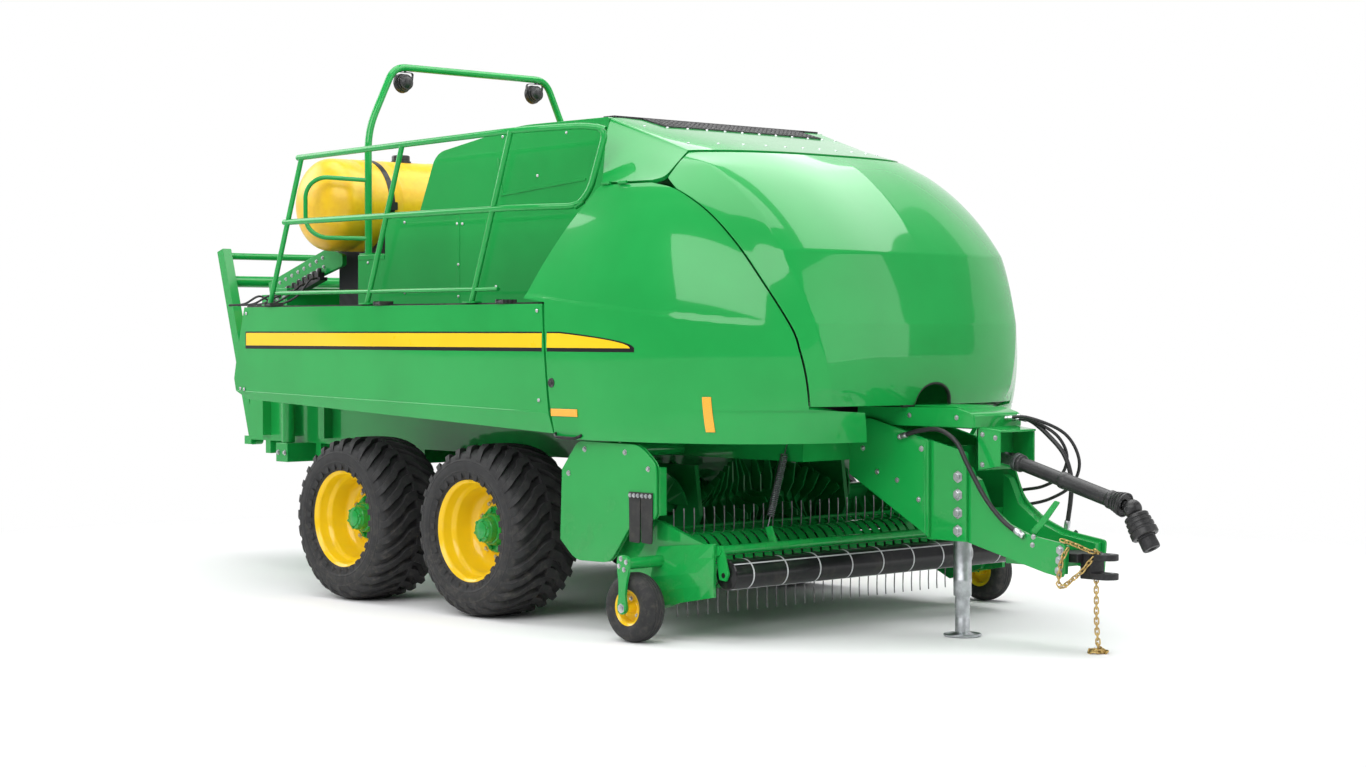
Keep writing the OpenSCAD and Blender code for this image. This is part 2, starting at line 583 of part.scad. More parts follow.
module cowl() color("#2a9b4b") {
    low = 2540;
    side_f = [[66.5, low], [63.2, low + 20], [60.9, 2620], [hood_turn + 0.7, hood_top]];
    flank = body_point(angle_at(1500, low), low);
    // Rear edge of the side: X, share of the way from the housing out to the flank, Z
    side_r = concat([flank], [for (p = [[1430, 0.72, 2640], [1350, 0.35, 2780], [1292, 0, 2895]])
        [p[0], flank[1] * p[1] - (housing_half + 5) * (1 - p[1]), p[2]]]);
    top_half = housing_half - 40;
    f = concat([for (p = side_f) body_point(p[0], p[1])], [for (k = [0 : 8]) body_point((hood_turn - 1) * (1 - k / 4), hood_top + 14)],
        [for (k = [3 : -1 : 0]) let (p = body_point(side_f[k][0], side_f[k][1])) [p[0], -p[1], p[2]]]);
    r = concat(side_r, [for (k = [0 : 8]) [1292, top_half * (k / 4 - 1), roof_z - 4]],
        [for (k = [3 : -1 : 0]) [side_r[k][0], -side_r[k][1], side_r[k][2]]]);
    panel([for (i = [0 : 4]) [for (j = [0 : len(f) - 1]) f[j] + (r[j] - f[j]) * i / 4]], skin);
    block([1280, 1340], [100 - housing_half, housing_half - 100], [roof_z - 48, roof_z - 25]);
    both_sides() {
        for (x = DOOR_HINGES) {
            x_rod(x - 34, x + 34, -door_y, door_z, hinge_r);
            for (k = [-1, 1]) block([x + k * 28 - 7, x + k * 28 + 7], [-door_y - 12, 60 - door_y], [door_z - 3, door_z + 50]);
        }
        y_rod(hood_x, hood_z, hood_y - 21, hood_y + 35, hinge_r);
        block([hood_x - 60, hood_x + 12], [hood_y + 20, hood_y + 35], [hood_z - 12, hood_z + 12]);
        block([hood_x - 70, hood_x - 34], [hood_y - 51, hood_y + 35], [hood_z - 25, hood_z + 12]);
    }
}

// Plates that close the space between the doors and the upper housing
module bulkheads() color("#2a9b4b") both_sides()
    panel([for (z = [chamber_top + wall, 2000, 2180, 2340, 2490]) let (x = lookup(z, door_rear) + 45)
        [[x, -side_b(z) + skin + 20, z], [x, -housing_half, z]]], 20);

module vent() color("#17181a") block([1180, 1280], [-housing_half + 40, housing_half - 40], [roof_z, roof_z + 12]);

module rear_shield() difference() {
    union() {
        side_plate([[-1920, 1370], [-1800, shield_top], [1262, shield_top], [1318, 1225], [-1905, 1290]], body_half - skin, body_half);
        side_plate([[-1905, 1300], [1318, 1235], [1345, 1105], [-1790, 1235]], body_half - skin - 14, body_half - 14);
        for (x = SHIELD_HINGES) {
            x_rod(x - 18, x + 18, shield_y, shield_z, hinge_r + 8);
            block([x - 18, x + 18], [shield_y - 30, shield_y + 2], [shield_z - 40, shield_z - 4]);
        }
    }
    for (x = SHIELD_HINGES) x_rod(x - 60, x + 60, shield_y, shield_z, hinge_r + fit);
}

module rear_shield_left() color("#2a9b4b") rear_shield();

module rear_shield_right() color("#2a9b4b") mirror([0, 1, 0]) rear_shield();

module upper_housing() color("#2a9b4b") difference() {
    side_plate([[step_x, chamber_top + wall], [step_x, step_z], [shelf_x, step_z], [shelf_x, shelf_z], [-540, shelf_z], [-370, 2810],
        [470, roof_z], [1280, roof_z], [1280, 2815], [1480, 2700], [1480, chamber_top + wall]], -housing_half, housing_half);
    side_plate([[step_x + skin, chamber_top], [step_x + skin, step_z - skin], [shelf_x + skin, step_z - skin],
        [shelf_x + skin, shelf_z - skin], [-520, shelf_z - skin], [-349, 2781], [470, roof_z - skin], [1250, roof_z - skin],
        [1250, 2795], [1450, 2675], [1450, chamber_top]], -housing_half + skin, housing_half - skin);
}

module platform() color("#2f3234") both_sides() {
    block([-1850, 1200], [chamber_half + wall, rail_y], [chamber_top, chamber_top + wall]);
    for (x = SHIELD_HINGES) {
        x_rod(x - 34, x + 34, shield_y, shield_z, hinge_r);
        for (k = [-1, 1]) block([x + k * 28 - 7, x + k * 28 + 7], [body_half - skin - 40, shield_y + 10], [shield_z - 8, shield_z + 14]);
        block([x - 35, x + 35], [rail_y - edge_in, rail_y], [chamber_top + wall - 20, shield_z + 14]);
    }
}

// Past turn_x the rail leans in towards the housing, so that the door swings up beside it
function rail_point(p) = let (d = max(0, p[0] - turn_x) * turn_in) [p[0] - turn_back * d, rail_y - d, p[1]];

module rail(front, posts) {
    turn = front > turn_x;
    line = concat([rail_rear], turn ? [[turn_x, 2846]] : [], [for (p = RAIL_LOOP) [front + p[0], p[1]]],
        turn ? [[turn_x, 2398.4]] : [], [[-1410, 2390]]);
    for (x = posts) rod([x, rail_y, chamber_top + wall + 6.6], [x + post_lean, rail_y, lookup(x + post_lean, [line[0], line[1]])], post_d);
    rod([posts[0] + 80, rail_y, toe_z], [posts[2] + 250, rail_y, toe_z], toe_d);
    bent_tube([for (p = line) rail_point(p)], rail_d);
}

module rails() color("#238a41") {
    rail(front_left, POSTS_LEFT);
    mirror([0, 1, 0]) rail(front_right, POSTS_RIGHT);
}

module light_hoop() color("#238a41") bent_tube(concat([for (p = HOOP_LINE) [hoop_x, -p[0], p[1]]],
    [for (i = [len(HOOP_LINE) - 1 : -1 : 0]) [hoop_x, HOOP_LINE[i][0], HOOP_LINE[i][1]]]), hoop_d);

module lamps() color("#17181a") both_sides() {
    rod([hoop_x + 20, lamp_y, 3335], [hoop_x - 60, lamp_y, 3325], 130);
    translate([hoop_x, lamp_y, 3380]) cylinder(d = 20, h = 25.7);
}

module tank() color("#e8b416") translate([-1620, 0, 2530]) rotate([90, 0, 0]) rotate_extrude($fn = 64)
    polygon([[0, -1000], [160, -985], [260, -950], [310, -880], [310, 880], [260, 950], [160, 985], [0, 1000]]);

module tank_cradle() color("#2f3234") for (s = [-1, 1]) difference() {
    block([-1880, -1360], [s * 550 - 30, s * 550 + 30], [chamber_top + wall, 2420]);
    translate([-1620, s * 550, 2530]) rotate([90, 0, 0]) cylinder(r = 310.3, h = 120, center = true, $fn = 192);
}

module chute() color("#2a9b4b") translate([chute_x, 0, chute_z]) rotate([0, -17, 0]) {
    both_sides() difference() {
        union() {
            block([-40, 40], [520, 590], [0, 1430]);
            y_rod(0, 0, 520, 590, 36);
        }
        y_rod(0, 0, 500, 610, 15 + fit);
    }
    for (z = [240, 560, 880, 1200]) y_rod(-25, z, -521, 521, 42);
    y_rod(-10, 1390, -521, 521, 25);
}

at_middle() tyre(-1, axle_gap / 2);  // tyre_fr
at_middle() tyre(-1, -axle_gap / 2);  // tyre_rr
at_middle() tyre(1, axle_gap / 2);  // tyre_fl
at_middle() tyre(1, -axle_gap / 2);  // tyre_rl
at_middle() wheel(-1, axle_gap / 2);  // wheel_fr
at_middle() wheel(-1, -axle_gap / 2);  // wheel_rr
at_middle() wheel(1, axle_gap / 2);  // wheel_fl
at_middle() wheel(1, -axle_gap / 2);  // wheel_rl
at_middle() gauge_tyre(-1);  // gauge_tyre_right
at_middle() gauge_tyre(1);  // gauge_tyre_left
at_middle() gauge_rim(-1);  // gauge_rim_right
at_middle() gauge_rim(1);  // gauge_rim_left
at_middle() bogies();
at_middle() axle();
at_middle() chamber_floor();
at_middle() chamber_side_right();
at_middle() chamber_side_left();
at_middle() chamber_top();
at_middle() front_frame();
at_middle() feed_duct();
at_middle() feed_rotor();
at_middle() guard_plates();
at_middle() flaps();
at_middle() pickup_frame();
at_middle() pickup_reel();
at_middle() windguard();
at_middle() windguard_roller();
at_middle() float_spring();
at_middle() gauge_arms();
at_middle() tongue();
at_middle() hitch_clevis();
at_middle() safety_chain();
at_middle() jack_tube();
at_middle() jack_leg();
at_middle() pto_shaft();
at_middle() pto_yoke();
at_middle() pto_holder();
at_middle() gearbox_cover();
at_middle() gearbox_block();
at_middle() hose_near();
at_middle() hose_far();
at_middle() hood();
at_middle() cowl();
at_middle() bulkheads();
at_middle() vent();
at_middle() front_door_right();
at_middle() front_door_left();
at_middle() rear_shield_right();
at_middle() rear_shield_left();
at_middle() upper_housing();
at_middle() platform();
at_middle() rails();
at_middle() light_hoop();
at_middle() lamps();
at_middle() tank();
at_middle() tank_cradle();
at_middle() press_frame();
at_middle() chute();
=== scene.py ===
# %% [markdown]
# # A large square baler, dressed in Blender
# The CAD part gives every solid its true size and every joint its place. This lesson puts the
# looks on it: smooth panels, tyres, tubes, springs and chain worked out with numpy, and a
# procedural finish for every piece. The first cell loads the solids as a fixed frame.

# %% Load the frame
import math

import bpy
import numpy as np
from mathutils import Matrix, Vector


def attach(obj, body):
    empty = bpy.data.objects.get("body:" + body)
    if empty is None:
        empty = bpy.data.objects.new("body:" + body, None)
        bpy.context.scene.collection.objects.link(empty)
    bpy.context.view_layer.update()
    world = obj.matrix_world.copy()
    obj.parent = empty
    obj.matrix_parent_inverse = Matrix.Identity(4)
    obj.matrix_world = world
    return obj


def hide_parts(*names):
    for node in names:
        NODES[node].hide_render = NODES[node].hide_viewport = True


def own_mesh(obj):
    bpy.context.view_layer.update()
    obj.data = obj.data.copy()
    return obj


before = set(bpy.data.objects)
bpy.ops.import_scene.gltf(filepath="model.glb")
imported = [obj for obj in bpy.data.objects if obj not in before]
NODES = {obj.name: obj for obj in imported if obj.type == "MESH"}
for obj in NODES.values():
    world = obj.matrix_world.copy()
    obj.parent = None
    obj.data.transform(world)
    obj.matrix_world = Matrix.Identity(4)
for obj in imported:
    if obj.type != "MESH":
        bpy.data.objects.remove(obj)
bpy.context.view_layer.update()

# %% [markdown]
# The drawing counts millimetres from the middle between the two tandem axles, while the part's
# own origin lies under the middle of the whole machine. One helper turns drawing points into
# part points, so every number below can be read against the drawing.

# %% From drawing to part
MIDDLE = np.array([556.0, 0.0, 0.0])


def mm(points):
    """Drawing millimetres to part metres: take the middle away, then divide by a thousand."""
    return (np.asarray(points, float) - MIDDLE) / 1000


print("hitch pin stands at", mm([4190, 0, 450]))

# %% [markdown]
# A mesh in Blender is a list of points and a list of faces. Shapes here are grids, so the faces
# follow from counting rows and columns. A Shape collects several grids before one object is
# made of them, because thousands of small objects would be slow and hard to read.

# %% Grids into meshes


def quads(rows, cols, wrap_rows=False, wrap_cols=False):
    """Corners of each cell of a grid, counted row by row; a wrapped side joins last line to first."""
    down = np.arange(rows if wrap_rows else rows - 1)
    along = np.arange(cols if wrap_cols else cols - 1)
    r, c = np.meshgrid(down, along, indexing="ij")
    r1 = (r + 1) % rows
    c1 = (c + 1) % cols
    return np.stack([r * cols + c, r1 * cols + c, r1 * cols + c1, r * cols + c1], -1).reshape(-1, 4)


class Shape:
    """Points and faces gathered from several grids."""

    def __init__(self):
        self.points = []
        self.faces = []
        self.count = 0

    def add(self, points, faces):
        """One more grid; its faces count on from the points that are already here."""
        points = np.reshape(points, (-1, 3))
        self.points.append(points)
        rows = faces.tolist() if hasattr(faces, "tolist") else faces
        self.faces += [[i + self.count for i in f] for f in rows]
        self.count += len(points)
        return self


def make(name, shape, finish, body, replaces=(), angle=35):
    """Shape in drawing millimetres to one Blender object that rides on a body, smooth below the angle."""
    mesh = bpy.data.meshes.new(name)
    mesh.from_pydata(mm(np.concatenate(shape.points)).tolist(), [], shape.faces)
    mesh.validate()
    obj = bpy.data.objects.new(name, mesh)
    bpy.context.scene.collection.objects.link(obj)
    mesh.materials.append(finish)
    mesh.shade_smooth()
    mesh.set_sharp_from_angle(angle=math.radians(angle))
    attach(obj, body)
    if replaces:
        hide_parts(*replaces)
    print(name, len(mesh.vertices), "points", len(mesh.polygons), "faces")
    return obj


# %% [markdown]
# Most parts of a farm machine are bent tube, turned metal or flat plate. Three functions cover
# them: a circle carried along a path, a profile turned about an axis, and an outline given a
# thickness. Bolts and links are one small shape set down many times by matrix arithmetic.

# %% Paths and sections


def unit(v):
    """Each vector divided by its length."""
    v = np.asarray(v, float)
    return v / np.maximum(np.linalg.norm(v, axis=-1, keepdims=True), 1e-9)


def rounded(points, radius, steps=8):
    """Line of points whose corners become quadratic curves that start and end radius before them."""
    p = np.asarray(points, float)
    radius = np.broadcast_to(radius, len(p) - 2)[:, None]
    a = p[1:-1] + unit(p[:-2] - p[1:-1]) * radius
    b = p[1:-1] + unit(p[2:] - p[1:-1]) * radius
    t = np.linspace(0, 1, steps)[None, :, None]
    arc = (1 - t) ** 2 * a[:, None] + 2 * t * (1 - t) * p[1:-1][:, None] + t ** 2 * b[:, None]
    return np.concatenate([p[:1], arc.reshape(-1, 3), p[-1:]])


def through(points, steps=12):
    """Smooth line through points: cubics whose slope at a point is half its neighbours' step."""
    p = np.asarray(points, float)
    q = np.concatenate([2 * p[:1] - p[1:2], p, 2 * p[-1:] - p[-2:-1]])
    a, b, c, d = q[:-3, None], q[1:-2, None], q[2:-1, None], q[3:, None]
    t = np.linspace(0, 1, steps, endpoint=False)[None, :, None]
    bend, twist = 2 * a - 5 * b + 4 * c - d, 3 * b - a - 3 * c + d
    line = 0.5 * (2 * b + (c - a) * t + bend * t ** 2 + twist * t ** 3)
    return np.concatenate([line.reshape(-1, p.shape[1]), p[-1:]])


def frames(path, side=None, closed=False):
    """At each path point: the tangent, the given side made square to it, and their cross product."""
    if closed:
        t = unit(np.roll(path, -1, 0) - np.roll(path, 1, 0))
    else:
        t = unit(np.gradient(path, axis=0))
    if side is None:
        side = np.eye(3)[np.argmin(np.abs(t).max(axis=0))]
    s = np.broadcast_to(np.asarray(side, float), t.shape)
    n = unit(s - (s * t).sum(-1, keepdims=True) * t)
    return t, n, np.cross(t, n)


def carry(path, section, side=None, closed=False):
    """A closed section of (across, up) pairs set square on each path point, as one skin with end caps."""
    path = np.asarray(path, float)
    section = np.asarray(section, float)
    t, n, b = frames(path, side, closed)
    pts = path[:, None] + (section[None, :, :1] * n[:, None] + section[None, :, 1:] * b[:, None])
    k = len(section)
    faces = quads(len(path), k, closed, True)[:, ::-1].tolist()
    if not closed:
        faces += [list(range(k))[::-1], list(range((len(path) - 1) * k, len(path) * k))]
    return pts, faces


def ring(radius, sides):
    """Evenly spaced points of a circle."""
    a = np.linspace(0, 2 * np.pi, sides, endpoint=False)
    return np.stack([radius * np.cos(a), radius * np.sin(a)], -1)


def tube(path, radius, sides=12, **how):
    """A circle carried along a path."""
    return carry(path, ring(radius, sides), **how)


def turned(profile, centre, axis, steps=48):
    """(radius, height) pairs turned about an axis: centre + height along it + radius round it."""
    profile = np.asarray(profile, float)
    w = unit(axis)
    side = np.eye(3)[np.argmin(np.abs(w))]
    u = unit(side - np.dot(side, w) * w)
    v = np.cross(w, u)
    a = np.linspace(0, 2 * np.pi, steps, endpoint=False)
    spoke = np.cos(a)[:, None] * u + np.sin(a)[:, None] * v
    pts = np.asarray(centre, float) + profile[None, :, 1:] * w + profile[None, :, :1] * spoke[:, None]
    return pts, quads(steps, len(profile), True, False)


def plate(outline, origin, across, up, thick):
    """A flat outline of (across, up) pairs made thick along across x up, with both faces closed."""
    outline = np.asarray(outline, float)
    a, b = unit(across), unit(up)
    flat = np.asarray(origin, float) + outline[:, :1] * a + outline[:, 1:] * b
    pts = np.stack([flat, flat + thick * np.cross(a, b)])
    k = len(outline)
    faces = quads(2, k, False, True)[:, ::-1].tolist()
    return pts, faces + [list(range(k))[::-1], list(range(k, 2 * k))]


def rounded_box(x, y, soft, steps=4):
    """Outline of a rectangle x by y, centred, with its corners on quarter circles of radius soft."""
    a = np.linspace(0, np.pi / 2, steps)
    quarter = np.stack([np.cos(a), np.sin(a)], -1) * soft
    turns = [(1, 1), (-1, 1), (-1, -1), (1, -1)]
    spin = [quarter, quarter[:, ::-1] * [-1, 1], -quarter, quarter[:, ::-1] * [1, -1]]
    corners = [s + [i * (x / 2 - soft), j * (y / 2 - soft)] for s, (i, j) in zip(spin, turns)]
    return np.concatenate(corners)


def scatter(template, centres, axes, sides=None):
    """A small shape set down at many centres: its own z runs along each axis, its x along each side."""
    pts, faces = template
    pts = np.reshape(pts, (-1, 3))
    centres = np.atleast_2d(np.asarray(centres, float))
    w = np.broadcast_to(unit(axes), centres.shape)
    if sides is None:
        sides = np.where(np.abs(w[:, 2:]) > 0.9, [[1.0, 0, 0]], [[0, 0, 1.0]])
    s = np.broadcast_to(np.asarray(sides, float), centres.shape)
    u = unit(s - (s * w).sum(-1, keepdims=True) * w)
    turn = np.stack([u, np.cross(w, u), w], 1)
    out = centres[:, None] + np.einsum("kc,ncd->nkd", pts, turn)
    base = [list(f) for f in faces]
    step = len(pts)
    return out, [[i + n * step for i in f] for n in range(len(centres)) for f in base]


# %% [markdown]
# Shader maths reads best as ordinary arithmetic. A Value wraps one socket, and adding or
# multiplying values adds Math nodes. A Finish is one material: it makes any other node through
# a single method and feeds the Principled shader.

# %% Shader arithmetic


class Value:
    """One output socket; + - and * on it add Math nodes."""

    def __init__(self, finish, socket):
        self.finish = finish
        self.socket = socket

    def _math(self, operation, a, b):
        return self.finish.node("Math", {"operation": operation}, {0: a, 1: b})

    def __add__(self, other):
        return self._math("ADD", self, other)

    def __radd__(self, other):
        return self._math("ADD", other, self)

    def __sub__(self, other):
        return self._math("SUBTRACT", self, other)

    def __rsub__(self, other):
        return self._math("SUBTRACT", other, self)

    def __mul__(self, other):
        return self._math("MULTIPLY", self, other)

    def __rmul__(self, other):
        return self._math("MULTIPLY", other, self)


class Finish:
    """A material whose nodes are added by expressions."""

    def __init__(self, name):
        self.material = bpy.data.materials.new(name)
        self.material.use_nodes = True
        self.tree = self.material.node_tree
        self.shader = next(n for n in self.tree.nodes if n.type == "BSDF_PRINCIPLED")
        self.coords = None

    def node(self, kind, settings=None, inputs=None, output=0):
        """A node of this type: settings first, then a value or a link for each socket."""
        made = self.tree.nodes.new("ShaderNode" + kind)
        for key, value in (settings or {}).items():
            setattr(made, key, value)
        for key, value in (inputs or {}).items():
            self.feed(made.inputs[key], value)
        return Value(self, made.outputs[output])

    def feed(self, socket, value):
        """A link from a Value, or else the socket's own number, vector or colour."""
        if isinstance(value, Value):
            self.tree.links.new(value.socket, socket)
        else:
            socket.default_value = value

    def place(self):
        """Object coordinates: metres in the part's own frame."""
        if self.coords is None:
            self.coords = self.node("TexCoord", None, None, "Object")
        return self.coords

    def along(self, axis):
        """One of the three object coordinates as a value."""
        return self.node("SeparateXYZ", None, {0: self.place()}, axis)

    def noise(self, scale, detail=2.0, rough=0.5):
        """Cloudy pattern from 0 to 1 with features about 1/scale metres wide."""
        inputs = {"Vector": self.place(), "Scale": scale, "Detail": detail, "Roughness": rough}
        return self.node("TexNoise", None, inputs, 0)

    def band(self, value, low, high):
        """0 below low, 1 above high, smooth between."""
        inputs = {0: value, 1: low, 2: high, 3: 0.0, 4: 1.0}
        return self.node("MapRange", {"interpolation_type": "SMOOTHSTEP"}, inputs)

    def mix(self, share, a, b):
        """Colour a where share is 0, colour b where it is 1."""
        return self.node("Mix", {"data_type": "RGBA"}, {0: share, 6: a, 7: b}, 2)

    def bump(self, height, strength, distance):
        """Normals tilted by the slope of a height, given as a share of a distance in metres."""
        return self.node("Bump", None, {"Strength": strength, "Distance": distance, "Height": height})

    def shade(self, **sockets):
        """Feeds the Principled shader's sockets, with _ for a space, and returns the material."""
        for key, value in sockets.items():
            self.feed(self.shader.inputs[key.replace("_", " ")], value)
        return self.material


def rgb(r, g, b):
    """A colour in linear light, with full alpha."""
    return (r, g, b, 1.0)


print("shader arithmetic ready")

# %% [markdown]
# The paint on a new machine is a smooth green enamel under a clear gloss. Seen close it has a
# faint orange-peel ripple, its tone drifts a little from panel to panel, and field dust dulls it
# towards the ground. Noise of three sizes gives those three things.

# %% Enamel paints


def enamel(name, colour, shade, coat=0.7, rough=0.24, dust=0.25):
    """Gloss paint: the tone drifts, dust thins out with height, a fine ripple tilts the gloss."""
    f = Finish(name)
    drift = f.noise(1.7, 3.0)
    fine = f.noise(160.0, 1.0)
    dirt = f.noise(7.0, 5.0, 0.65)
    low = 1 - f.band(f.along(2), 0.05, 0.95)
    film = f.band(dirt, 0.45, 0.85) * (low * 0.8 + 0.02) * dust
    tone = f.mix(f.band(drift, 0.3, 0.7), rgb(*colour), rgb(*shade))
    base = f.mix(film, tone, rgb(0.20, 0.18, 0.13))
    return f.shade(Base_Color=base, Roughness=film * 0.5 + dirt * 0.04 + rough,
                   Coat_Weight=coat - film * 0.6, Coat_Roughness=0.05, Specular_IOR_Level=0.1,
                   Normal=f.bump(fine, 0.03, 0.0004))


GREEN = (0.010, 0.325, 0.060)
GREEN_SHADE = (0.008, 0.292, 0.052)
YELLOW = (0.88, 0.57, 0.012)
green_paint = enamel("green_enamel", GREEN, GREEN_SHADE)
# A darker copy of the green enamel, used only on the feed duct, the rotor and the channel sheets inside
# the machine.
deep_green = enamel("darker_green_enamel", (0.010, 0.235, 0.048), (0.008, 0.20, 0.040), 0.45, 0.33, 0.5)
yellow_paint = enamel("yellow_enamel", YELLOW, (0.84, 0.53, 0.010), 0.6, 0.26, 0.3)
dark_paint = enamel("charcoal_paint", (0.020, 0.022, 0.024), (0.028, 0.030, 0.032), 0.25, 0.42, 0.7)
black_paint = enamel("black_enamel", (0.008, 0.008, 0.009), (0.013, 0.013, 0.014), 0.4, 0.32, 0.3)
print("paints mixed")

# %% [markdown]
# Rubber is nearly black and matt, with a dry bloom that dust turns brown-grey in the hollows.
# Moulded plastic is a shade glossier with a fine grain. Both come from one recipe with
# different numbers.

# %% Rubber and plastic


def moulded(name, colour, bloom, rough, grain, dust=0.3):
    """Matt moulding: bloom mottles the colour, a fine grain roughens it, dust gathers low down."""
    f = Finish(name)
    mottle = f.noise(14.0, 4.0, 0.6)
    fine = f.noise(1100.0, 2.0)
    low = 1 - f.band(f.along(2), 0.0, 1.1)
    film = f.band(f.noise(22.0, 5.0, 0.7), 0.45, 0.75) * (low * 0.8 + 0.1) * dust
    tone = f.mix(f.band(mottle, 0.35, 0.7), rgb(*colour), rgb(*bloom))
    return f.shade(Base_Color=f.mix(film, tone, rgb(0.16, 0.14, 0.11)), Roughness=mottle * 0.12 + rough,
                   Normal=f.bump(fine + mottle * 0.4, grain, 0.0008))


tyre_rubber = moulded("tyre_rubber", (0.011, 0.011, 0.012), (0.020, 0.020, 0.021), 0.62, 0.35)
flap_rubber = moulded("flap_rubber", (0.010, 0.010, 0.010), (0.018, 0.018, 0.018), 0.48, 0.3)
hose_rubber = moulded("hose_rubber", (0.010, 0.010, 0.011), (0.016, 0.016, 0.017), 0.42, 0.2)
black_plastic = moulded("black_plastic", (0.012, 0.012, 0.013), (0.018, 0.018, 0.019), 0.36, 0.18)
tank_plastic = moulded("yellow_tank_plastic", (0.86, 0.52, 0.012), (0.80, 0.45, 0.010), 0.26, 0.08, 0.1)


def tread_plate(name, colour):
    """Walkway sheet: raised lozenges where two crossed sine waves agree, worn on top, dusty between."""
    f = Finish(name)
    x, y = f.along(0) * 95.0, f.along(1) * 95.0
    waves = [f.node("Math", {"operation": "SINE"}, {0: w}) for w in (x + y, x - y)]
    lozenge = f.band(waves[0] * waves[1], 0.25, 0.6)
    dust = f.band(f.noise(9.0, 5.0, 0.65), 0.4, 0.75)
    base = f.mix(lozenge, f.mix(dust, rgb(*colour), rgb(0.085, 0.078, 0.065)), rgb(0.05, 0.052, 0.055))
    return f.shade(Base_Color=base, Roughness=0.62 - lozenge * 0.2 + dust * 0.1,
                   Normal=f.bump(lozenge, 0.8, 0.004))


walkway = tread_plate("walkway_tread", (0.020, 0.021, 0.023))
print("rubber and plastic ready")

# %% [markdown]
# Bare metal shows what was done to it: zinc plate is mottled and bright, spring steel is darker,
# a casting is black and pebbled, and the chain keeps the golden sheen of its passivation.

# %% Metals


def metal(name, colour, tarnish, rough, grain, scale=30.0, metallic=1.0):
    """Metal: tarnish patches between two colours, roughness and a slight bump from the same noise."""
    f = Finish(name)
    patch = f.noise(scale, 4.0, 0.6)
    fine = f.noise(600.0, 2.0, 0.5)
    base = f.mix(f.band(patch, 0.3, 0.72), rgb(*colour), rgb(*tarnish))
    return f.shade(Base_Color=base, Metallic=metallic, Roughness=patch * 0.22 + rough,
                   Normal=f.bump(fine + patch, grain, 0.0008))


zinc = metal("zinc_plate", (0.63, 0.64, 0.65), (0.42, 0.43, 0.45), 0.25, 0.12)
jack_zinc = metal("galvanised_jack", (0.58, 0.60, 0.62), (0.36, 0.37, 0.39), 0.30, 0.15, 18.0)
spring_steel = metal("spring_steel", (0.24, 0.25, 0.26), (0.13, 0.13, 0.14), 0.34, 0.1, 60.0)
tine_steel = metal("tine_steel", (0.30, 0.30, 0.31), (0.16, 0.15, 0.15), 0.36, 0.1, 50.0)
cast_black = metal("black_casting", (0.030, 0.030, 0.032), (0.015, 0.015, 0.016), 0.42, 0.5, 80.0,
                   metallic=0.35)
gold_zinc = metal("golden_zinc", (0.66, 0.47, 0.17), (0.48, 0.34, 0.14), 0.28, 0.15, 70.0)
chrome = metal("chromed_rod", (0.72, 0.73, 0.74), (0.64, 0.65, 0.66), 0.10, 0.02)
print("metals ready")

# %% [markdown]
# Every CAD solid that isn't replaced further down keeps its own mesh and takes a finish by what
# it is made of. The table below gives each finish its nodes.

# %% Finish every solid
WEAR = {
    tyre_rubber: "tyre_fr tyre_rr tyre_fl tyre_rl gauge_tyre_right gauge_tyre_left",
    yellow_paint: "wheel_fr wheel_rr wheel_fl wheel_rl gauge_rim_right gauge_rim_left",
    green_paint: "chamber_floor chamber_side_right chamber_side_left chamber_top front_frame guard_plates"
                 " pickup_frame windguard gauge_arms tongue pto_holder gearbox_cover hood cowl bulkheads"
                 " upper_housing rails light_hoop press_frame chute front_door_right front_door_left"
                 " rear_shield_right rear_shield_left",
    dark_paint: "bogies axle gearbox_block tank_cradle",
    walkway: "platform",
    # The feed parts inside the machine take the darker copy of the green.
    deep_green: "feed_duct feed_rotor",
    jack_zinc: "jack_tube jack_leg",
    spring_steel: "float_spring",
    tine_steel: "pickup_reel",
    black_plastic: "windguard_roller pto_shaft pto_yoke vent lamps",
    flap_rubber: "flaps",
    hose_rubber: "hose_near hose_far",
    tank_plastic: "tank",
    gold_zinc: "safety_chain",
    cast_black: "hitch_clevis",
}
for finish, names in WEAR.items():
    for name in names.split():
        NODES[name].data.materials.clear()
        NODES[name].data.materials.append(finish)
print("finished", sum(len(n.split()) for n in WEAR.values()), "of", len(NODES), "nodes")

# %% [markdown]
# The nose hood, the two gull-wing doors and the cowl are pressed from one flowing surface. Its
# plan is a superellipse whose length and width change with height, so a point on it needs only
# an angle and a height. Modelling it as a function keeps the seams between panels exact: two
# neighbours are cut from the same surface.

# %% The body's master surface
NOSE_X, NOSE_LEN, NOSE_H, NOSE_Z = 1400.0, 1620.0, 1345.0, 1550.0
HALF, SIDE_Z, SIDE_H = 1400.0, 1500.0, 1450.0
PLAN_POWER, SIDE_POWER = 2.9, 2.6


def side_half(z):
    """Half width at a height: a superellipse across the machine."""
    return HALF * np.maximum(1e-4, 1 - (np.abs(z - SIDE_Z) / SIDE_H) ** SIDE_POWER) ** (1 / SIDE_POWER)


def body_skin(angle, z):
    """Point at an angle from ahead and a height; past 90 degrees the side runs back, 20 mm a degree."""
    angle, z = np.broadcast_arrays(np.asarray(angle, float), np.asarray(z, float))
    length = NOSE_LEN * np.sqrt(np.maximum(1e-4, 1 - ((z - NOSE_Z) / NOSE_H) ** 2))
    width = side_half(z)
    c, s = np.cos(np.radians(angle)), np.sin(np.radians(angle))
    r = ((np.abs(c) / length) ** PLAN_POWER + (np.abs(s) / width) ** PLAN_POWER) ** (-1 / PLAN_POWER)
    x = np.where(angle > 90, NOSE_X - (angle - 90) * 20, NOSE_X + r * c)
    y = np.where(angle > 90, -width, -r * s)
    return np.stack([x, y, z], -1)


